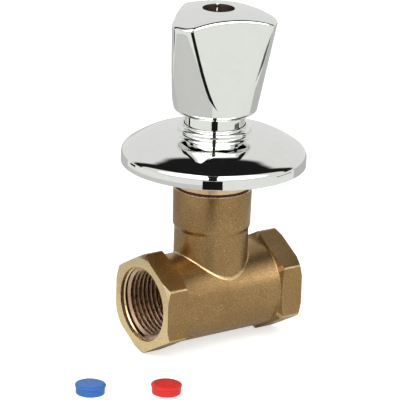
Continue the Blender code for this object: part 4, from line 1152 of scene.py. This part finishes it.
@dataclass
class Handle:
    """Three-sided chromed handle, lofted from a round foot to a crowned top."""

    finishes: Finishes
    base: float = 68.0
    height: float = 38.0
    foot: float = 14.77
    taper: float = 0.189
    flat: float = 15.22
    lean: float = 0.029
    crease: float = 5.5
    corner: float = -45.0
    crown: float = 34.0
    land: float = 5.5
    top_edge: float = 1.25
    base_edge: float = 1.9
    hole: float = 5.64
    hole_depth: float = 5.5
    web: float = 2.4
    notch_angle: float = 58.0
    notch_depth: float = 0.55
    notch_half: float = 0.75
    rim_round: float = 0.35
    bolt_bore: float = 2.6
    insert: float = 6.1
    hub: float = 8.3
    hub_low: float = 16.1
    skirt_top: float = 20.0
    skirt_taper: float = 1.0
    skirt_straight: float = 12.0
    flat_points: int = 10
    crease_points: int = 16
    rib_points: int = 6
    levels: int = 52

    def build(self) -> None:
        """Build the handle over its CAD node."""
        rings = self.outer_rings()
        rings += self.inner_rings(rings[0], rings[-1])
        handle = loft("handle_shell", rings, closed=True)
        shade(handle, 26)
        dress(handle, self.finishes.chrome)
        handle.data.materials.append(self.finishes.recess)
        # The index hole's walls and floor get the near-black recess finish: painted shade in the hole.
        top = self.base + self.height
        for polygon in handle.data.polygons:
            centre = polygon.center / MM
            within = math.hypot(centre.x, centre.y) < self.hole + 0.5
            if within and top - self.hole_depth - 0.1 < centre.z < top - 0.22:
                polygon.material_index = 1
        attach(handle, Body.HANDLE.value)
        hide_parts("handle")
        LOG.info("handle done")

    def cone(self, height: float) -> float:
        """Return the turned form's radius at a height above the foot."""
        return self.foot + self.taper * height

    def crease_angles(self, height: float) -> Point:
        """Work out where a flat's rounded crease starts and ends.

        Args:
            height: Height above the foot.

        Returns:
            Both angles from the flat's middle.
        """
        middle = self.cone(height) - self.crease
        flat = self.flat - self.lean * height
        end = math.acos(min((flat - self.crease) / middle, math.cos(math.radians(3))))
        return math.atan2(middle * math.sin(end), flat), end

    def side(self, height: float, angle: float) -> float:
        """Work out the side's distance from the stem.

        Args:
            height: Height above the foot.
            angle: Angle from the nearest flat's middle.

        Returns:
            The distance.
        """
        start, end = self.crease_angles(height)
        rib, flat, angle = self.cone(height), self.flat - self.lean * height, abs(angle)
        if rib <= flat or angle >= end:
            return rib
        if angle <= start:
            return min(rib, flat / math.cos(angle))
        middle = rib - self.crease
        across = middle * math.sin(angle - end)
        return middle * math.cos(angle - end) + math.sqrt(self.crease ** 2 - across ** 2)

    def crown_at(self, radius: float) -> float:
        """Return the crown's height above the foot at a distance from the stem."""
        return self.height - max(radius - self.land, 0.0) ** 2 / (2 * self.crown)

    def angles(self, height: float) -> list[float]:
        """Spread angles from one flat's middle to the next, dense at the creases.

        Args:
            height: Height above the foot.

        Returns:
            The angles in radians, as many at every height.
        """
        start, end = self.crease_angles(height)
        third = math.radians(60)
        line = [start * index / self.flat_points for index in range(self.flat_points)]
        line += [start + (end - start) * index / self.crease_points
                 for index in range(self.crease_points)]
        line += [end + (third - end) * index / self.rib_points for index in range(self.rib_points + 1)]
        return line + [2 * third - angle for angle in reversed(line[1:-1])]

    def fold(self, angle: float) -> float:
        """Return an angle folded to the nearest flat's middle."""
        third = math.radians(120)
        return (angle + third / 2) % third - third / 2

    def meet(self, angle: float) -> Point:
        """Find where side and crown meet.

        Args:
            angle: Angle round the stem, from a flat's middle.

        Returns:
            Radius and height of the meeting point.
        """
        height = self.height
        for _ in range(14):
            radius = self.side(height, self.fold(angle))
            height = self.crown_at(radius)
        return radius, height

    def ring(self, points: Iterable[tuple[float, float, float]]) -> list[Vector]:
        """Return a ring in place from radius, angle and height above the foot."""
        start = math.radians(self.corner - 60)
        return [Vector((radius * math.cos(start + angle), radius * math.sin(start + angle),
                        self.base + height)) for radius, angle, height in points]

    def round_angles(self, height: float) -> list[float]:
        """Return the angles of a whole ring at a height."""
        turn = math.radians(120)
        return [angle + turn * index for index in range(3) for angle in self.angles(height)]

    def outer_rings(self) -> list[list[Vector]]:
        """Build the rings from the foot's lower edge to the hole in the crown.

        Returns:
            The rings, from the lowest to the innermost.
        """
        base_steps, edge_steps, crown_steps = 8, 8, 14
        rings = []
        for step in range(base_steps + 1):
            bow = math.radians(90 * step / base_steps)
            inset, height = self.base_edge * (1 - math.sin(bow)), self.base_edge * (1 - math.cos(bow))
            rings.append(self.ring((self.side(height, self.fold(angle)) - inset, angle, height)
                                   for angle in self.round_angles(height)))
        crease_top = self.crown_at(self.cone(self.height)) - self.top_edge
        for step in range(1, self.levels + 1):
            share = (step / self.levels) ** 1.5
            nominal = self.base_edge + (crease_top - self.base_edge) * share
            points = []
            for angle in self.round_angles(nominal):
                top = self.meet(angle)[1] - self.top_edge
                height = self.base_edge + (top - self.base_edge) * share
                points.append((self.side(height, self.fold(angle)), angle, height))
            rings.append(self.ring(points))
        angles = self.round_angles(crease_top)
        edges: list[list[tuple[float, float, float]]] = [[] for _ in range(edge_steps)]
        crowns: list[list[tuple[float, float, float]]] = [[] for _ in range(crown_steps)]
        for angle in angles:
            corner = self.meet(angle)
            below = (self.side(corner[1] - self.top_edge, self.fold(angle)), corner[1] - self.top_edge)
            inward = corner[0] - self.top_edge
            curve = bend(below, corner, (inward, self.crown_at(inward)), edge_steps)[1:]
            for ring, point in zip(edges, curve):
                ring.append((point[0], angle, point[1]))
            for index, ring in enumerate(crowns):
                share = (index + 1) / crown_steps
                rim = self.hole_radius(angle) + self.rim_round
                radius = inward + (rim - inward) * share
                ring.append((radius, angle, self.crown_at(radius)))
        return rings + [self.ring(points) for points in edges + crowns]

    def hole_radius(self, angle: float) -> float:
        """Work out the index hole's radius with its small notch.

        Args:
            angle: Angle round the stem, from a flat's middle.

        Returns:
            The radius.
        """
        here = angle + math.radians(self.corner - 60 - self.notch_angle)
        off = abs((here + math.pi) % (2 * math.pi) - math.pi) * self.hole
        return self.hole + self.notch_depth * max(0.0, 1 - (off / self.notch_half) ** 4)

    def inner_rings(self, lowest: list[Vector], crown: list[Vector]) -> list[list[Vector]]:
        """Build the rings from the hole's rim down the recess and out of the skirt.

        Args:
            lowest: The outer ring at the foot's lower edge. Not used.
            crown: The last ring of the crown, round the hole.

        Returns:
            The rings that close the shell.
        """
        floor = self.height - self.hole_depth
        angles = [math.atan2(point.y, point.x) - math.radians(self.corner - 60) for point in crown]
        deep = [(0.12, -0.06), (0.0, -0.35), (0.0, -2.0), (0.0, floor - self.height + 0.2)]
        rings = []
        for extra, drop in deep:
            rings.append(self.ring((self.hole_radius(angle) + extra, angle, self.height - 0.05 + drop)
                                   for angle in angles))
        bore, ceiling = self.foot - self.base_edge, floor - self.web
        path = [(self.hole - 0.2, floor), (self.bolt_bore, floor), (self.bolt_bore - 0.05, ceiling),
                (self.insert, ceiling), (self.insert, self.hub_low), (self.hub, self.hub_low),
                (self.hub, self.skirt_top), (bore - self.skirt_taper, self.skirt_top),
                (bore, self.skirt_straight), (bore, 0.35)]
        for radius, height in path:
            rings.append(self.ring((radius, angle, height) for angle in angles))
        return rings


@dataclass
class IndexCap:
    """Moulded push-in index cap that lies beside the valve. Sizes in millimetres."""

    name: str
    node: str
    slot: str
    material: bpy.types.Material
    radius: float = 5.45
    height: float = 3.6
    rim: float = 0.9
    wall: float = 0.8

    def build(self) -> None:
        """Build the cap over its CAD node."""
        low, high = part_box(self.node)
        centre = (low + high) / 2
        skirt = self.radius - 0.3
        under = self.height - self.rim
        line = rounded([
            (0.0, self.height, 0.0), (self.radius - 0.9, self.height - 0.03, 0.5),
            (self.radius - 0.45, self.height - 0.28, 0.3), (self.radius, self.height - 0.45, 0.3),
            (self.radius, under, 0.15), (skirt, under - 0.2, 0.1), (skirt - 0.08, 0.0, 0.2),
            (skirt - self.wall, 0.0, 0.2), (skirt - self.wall, under, 0.3), (0.0, under, 0.0)])
        cap = turned(self.name, line, 96)
        cap.data.transform(Matrix.Translation((centre.x, centre.y, low.z)))
        dress(cap, self.material)
        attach(cap, Body.VALVE.value)
        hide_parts(self.node)
        LOG.info("%s done", self.name)


@dataclass
class InnerParts:
    """Gasket and inner pieces, which keep their CAD form and get their finishes."""

    finishes: Finishes

    def build(self) -> None:
        """Dress the CAD nodes that stay."""
        chosen = {
            "bonnet_gasket": self.finishes.fibre, "spindle": self.finishes.stem_brass,
            "spindle_clip": self.finishes.steel, "spindle_thrust_washer": self.finishes.nylon,
            "spindle_o_ring_lower": self.finishes.rubber, "spindle_o_ring_upper": self.finishes.rubber,
            "handle_insert": self.finishes.stem_brass, "handle_screw": self.finishes.screw_brass,
            "plunger": self.finishes.stem_brass, "plunger_o_ring": self.finishes.rubber,
            "seat_washer": self.finishes.rubber, "washer_screw": self.finishes.stem_brass,
            "escutcheon_o_ring": self.finishes.rubber}
        for name, material in chosen.items():
            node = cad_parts[name]
            for place in node.material_slots:
                place.material = material
        LOG.info("%d pieces with their CAD form dressed", len(chosen))


# Studio


@dataclass(frozen=True)
class FloorCard:
    """A card on the floor that only the chrome mirrors.

    It spans two angles from the camera's side, right of it above zero, and two distances
    from the stem in metres. Each segment of its arc spans about the given angle.
    """

    name: str
    left: float
    right: float
    near: float
    far: float
    tone: float
    segment: float = 6.0

    def build(self, azimuth: float, height: float) -> None:
        """Lay the card.

        Args:
            azimuth: The camera's azimuth in degrees.
            height: The card's height in metres.
        """
        made = bpy.data.materials.new(self.name)
        made.use_nodes = True
        shader = made.node_tree.nodes["Principled BSDF"]
        shader.inputs["Base Color"].default_value = (self.tone, self.tone, self.tone, 1.0)
        shader.inputs["Roughness"].default_value = 1.0
        shader.inputs["Specular IOR Level"].default_value = 0.0
        span = self.right - self.left
        steps = max(1, round(span / self.segment))
        turns = [math.radians(azimuth - 90 + self.left + span * step / steps) for step in range(steps + 1)]
        corners = [(reach * math.cos(turn), reach * math.sin(turn), height)
                   for turn in turns for reach in (self.near, self.far)]
        faces = [(first, first + 1, first + 3, first + 2) for first in range(0, 2 * steps, 2)]
        mesh = bpy.data.meshes.new(self.name)
        mesh.from_pydata(corners, [], faces)
        card = link_object(self.name, mesh)
        card.data.materials.append(made)
        card.visible_camera = False
        card.visible_shadow = False
        card.visible_diffuse = False


@dataclass(frozen=True)
class SoftLamp:
    """A square soft lamp, placed across, ahead and above as the camera sees it, in metres."""

    name: str
    across: float
    ahead: float
    rise: float
    size: float
    power: float

    def build(self, azimuth: float) -> None:
        """Hang the lamp, aimed at the valve and unseen in the chrome.

        Args:
            azimuth: The camera's azimuth in degrees.
        """
        turn = math.radians(azimuth)
        right = Vector((math.cos(turn), math.sin(turn), 0.0))
        front = Vector((math.sin(turn), -math.cos(turn), 0.0))
        middle = Vector((0.0, 0.0, 0.04))
        lamp = bpy.data.lights.new(self.name, "AREA")
        lamp.size = self.size
        lamp.energy = self.power
        item = bpy.data.objects.new(self.name, lamp)
        item.location = middle + right * self.across + front * self.ahead + Vector((0.0, 0.0, self.rise))
        item.rotation_euler = (middle - item.location).to_track_quat("-Z", "Y").to_euler()
        item.visible_glossy = False
        bpy.context.scene.collection.objects.link(item)


@dataclass(frozen=True)
class Tent:
    """Pale walls with a dark opening overhead, a slit at the camera and a front light.

    Limits are parts of a unit direction: across to the camera's right, away from it, or
    up. Each pair says where an area starts and where it is full.
    """

    wall: Colour = (0.80, 0.80, 0.79)
    front_light: Colour = (3.4, 3.4, 3.3)
    opening: Colour = (0.012, 0.012, 0.012)
    opening_near: Point = (-0.45, -0.39)
    opening_spread: float = 0.55
    opening_far: Point = (0.44, 0.34)
    opening_low: Point = (0.02, 0.10)
    slit_side: Point = (0.095, 0.080)
    slit_front: Point = (-0.35, -0.45)
    light_front: Point = (-0.22, -0.40)
    light_low: Point = (0.25, 0.42)
    light_high: Point = (0.93, 0.85)

    def build(self, azimuth: float) -> None:
        """Make the world.

        Args:
            azimuth: The camera's azimuth in degrees.
        """
        world = bpy.data.worlds.new("tent")
        bpy.context.scene.world = world
        world.use_nodes = True
        world.node_tree.nodes.clear()
        nodes = Nodes(world.node_tree)
        place = nodes.add("ShaderNodeMapping", {
            "Vector": nodes.add("ShaderNodeTexCoord").outputs["Generated"],
            "Rotation": (0.0, 0.0, -math.radians(azimuth))}, vector_type="POINT")
        parts = nodes.add("ShaderNodeSeparateXYZ", {0: place.outputs[0]})
        across, away, up = parts.outputs["X"], parts.outputs["Y"], parts.outputs["Z"]
        width = nodes.math("ABSOLUTE", across)
        near = nodes.math("SUBTRACT", away, nodes.math("MULTIPLY", width, self.opening_spread))
        inner = nodes.remap(near, *self.opening_near)
        outer = nodes.remap(away, *self.opening_far)
        above = nodes.remap(up, *self.opening_low)
        roof = nodes.math("MULTIPLY", nodes.math("MULTIPLY", inner, outer), above)
        slit = nodes.math("MULTIPLY", nodes.remap(width, *self.slit_side),
                          nodes.remap(away, *self.slit_front))
        dark = nodes.math("MAXIMUM", roof, slit)
        band = nodes.math("MULTIPLY", nodes.remap(up, *self.light_low), nodes.remap(up, *self.light_high))
        box = nodes.math("MULTIPLY", nodes.remap(away, *self.light_front), band)
        light = nodes.mix(box, self.wall, self.front_light)
        colour = nodes.mix(dark, light, self.opening)
        ray = nodes.add("ShaderNodeLightPath")
        seen = nodes.mix(ray.outputs["Is Camera Ray"], colour, (1.0, 1.0, 1.0))
        back = nodes.add("ShaderNodeBackground", {"Color": seen})
        nodes.add("ShaderNodeOutputWorld", {"Surface": back.outputs[0]})


@dataclass
class Studio:
    """Pale floor, tent, lamps and the camera at the photograph's angle. Lengths in metres."""

    azimuth: float = -35.87
    elevation: float = 19.27
    roll: float = 1.95
    distance: float = 1.2
    focal_pixels: float = 3326.36
    frame_pixels: float = 400.0
    offset_pixels: Point = (10.86, -37.86)
    target: float = 0.02
    floor: float = -0.01906
    floor_half: float = 6.0
    floor_colour: Colour = (0.665, 0.675, 0.655)
    floor_glow: float = 0.58
    floor_mirrored: float = 0.05
    card_rise: float = 0.0003
    card_gap: float = 0.0001
    cards: tuple[FloorCard, ...] = (
        FloorCard("left_shade", -178.0, -125.0, 0.10, 1.2, 0.47),
        FloorCard("near_shade", -125.0, -8.0, 0.08, 0.218, 0.53),
        FloorCard("right_shade", 112.0, 160.0, 0.16, 1.2, 0.45),
        FloorCard("front_card", -11.5, 11.5, 0.15, 0.9, 0.008),
        FloorCard("right_card", 80.0, 106.0, 0.245, 0.30, 0.10),
        FloorCard("left_card", -117.0, -106.0, 0.238, 0.9, 0.008))
    lamps: tuple[SoftLamp, ...] = (
        SoftLamp("key_lamp", -0.85, 0.70, 0.75, 0.80, 3.0),
        SoftLamp("fill_lamp", 0.95, 0.45, 0.55, 0.80, 1.5))

    def build(self) -> None:
        """Build the studio."""
        self.camera()
        self.make_floor()
        Tent().build(self.azimuth)
        for index, card in enumerate(self.cards):
            card.build(self.azimuth, self.floor + self.card_rise + self.card_gap * index)
        for lamp in self.lamps:
            lamp.build(self.azimuth)
        bpy.context.scene.view_settings.view_transform = "Standard"
        LOG.info("studio done")

    def back(self) -> Vector:
        """Return the direction from the valve to the camera."""
        turn, rise = math.radians(self.azimuth), math.radians(self.elevation)
        return Vector((math.sin(turn) * math.cos(rise), -math.cos(turn) * math.cos(rise), math.sin(rise)))

    def camera(self) -> None:
        """Place the camera, aimed so that its shift stays zero."""
        turn, roll = math.radians(self.azimuth), math.radians(self.roll)
        back = self.back()
        right = Vector((math.cos(turn), math.sin(turn), 0.0))
        up = back.cross(right)
        right, up = right * math.cos(roll) + up * math.sin(roll), up * math.cos(roll) - right * math.sin(roll)
        beside, above = (pixels / self.focal_pixels for pixels in self.offset_pixels)
        aim = (-back - right * beside - up * above).normalized()
        right = (right - aim * right.dot(aim)).normalized()
        up = right.cross(aim)
        lens = bpy.data.cameras.new("photo_camera")
        lens.sensor_width = 36.0
        lens.lens = self.focal_pixels / self.frame_pixels * lens.sensor_width
        lens.clip_end = 50.0
        camera = bpy.data.objects.new("photo_camera", lens)
        bpy.context.scene.collection.objects.link(camera)
        camera.matrix_world = Matrix((
            (right.x, up.x, -aim.x, 0.0), (right.y, up.y, -aim.y, 0.0),
            (right.z, up.z, -aim.z, 0.0), (0.0, 0.0, 0.0, 1.0)))
        camera.location = Vector((0.0, 0.0, self.target)) + back * self.distance
        bpy.context.scene.camera = camera

    def make_floor(self) -> None:
        """Lay the pale floor, which shows white to the camera and keeps the shadow."""
        half = self.floor_half
        mesh = bpy.data.meshes.new("floor")
        corners = [(-half, -half), (half, -half), (half, half), (-half, half)]
        mesh.from_pydata([(x, y, self.floor) for x, y in corners], [], [(0, 1, 2, 3)])
        floor = link_object("floor", mesh)
        made = bpy.data.materials.new("pale_floor")
        made.use_nodes = True
        nodes = Nodes(made.node_tree)
        made.node_tree.nodes.clear()
        matt = nodes.add("ShaderNodeBsdfDiffuse", {"Color": (*self.floor_colour, 1.0)})
        ray = nodes.add("ShaderNodeLightPath").outputs
        seen = nodes.math("MULTIPLY", ray["Is Camera Ray"], self.floor_glow)
        mirrored = nodes.math("MULTIPLY", ray["Is Glossy Ray"], self.floor_mirrored)
        glow = nodes.add("ShaderNodeEmission", {
            "Color": (1.0, 1.0, 1.0, 1.0), "Strength": nodes.math("ADD", seen, mirrored)})
        both = nodes.add("ShaderNodeAddShader", {0: matt.outputs[0], 1: glow.outputs[0]})
        nodes.add("ShaderNodeOutputMaterial", {"Surface": both.outputs[0]})
        floor.data.materials.append(made)


def main() -> None:
    """Dress the valve and set the studio."""
    logging.basicConfig(level=logging.INFO, format="%(name)s: %(message)s")
    finishes = Finishes()
    pieces: list[Callable[[], None]] = [
        ValveBody(finishes).build, Headwork(finishes).build, Rosette(finishes).build,
        Sleeve(finishes).build, Handle(finishes).build,
        IndexCap("cold_cap", "cold_index_cap", "blue_plastic", finishes.blue).build,
        IndexCap("hot_cap", "hot_index_cap", "red_plastic", finishes.red).build,
        InnerParts(finishes).build, Studio().build]
    for build in pieces:
        build()


if __name__ == "__main__":
    main()
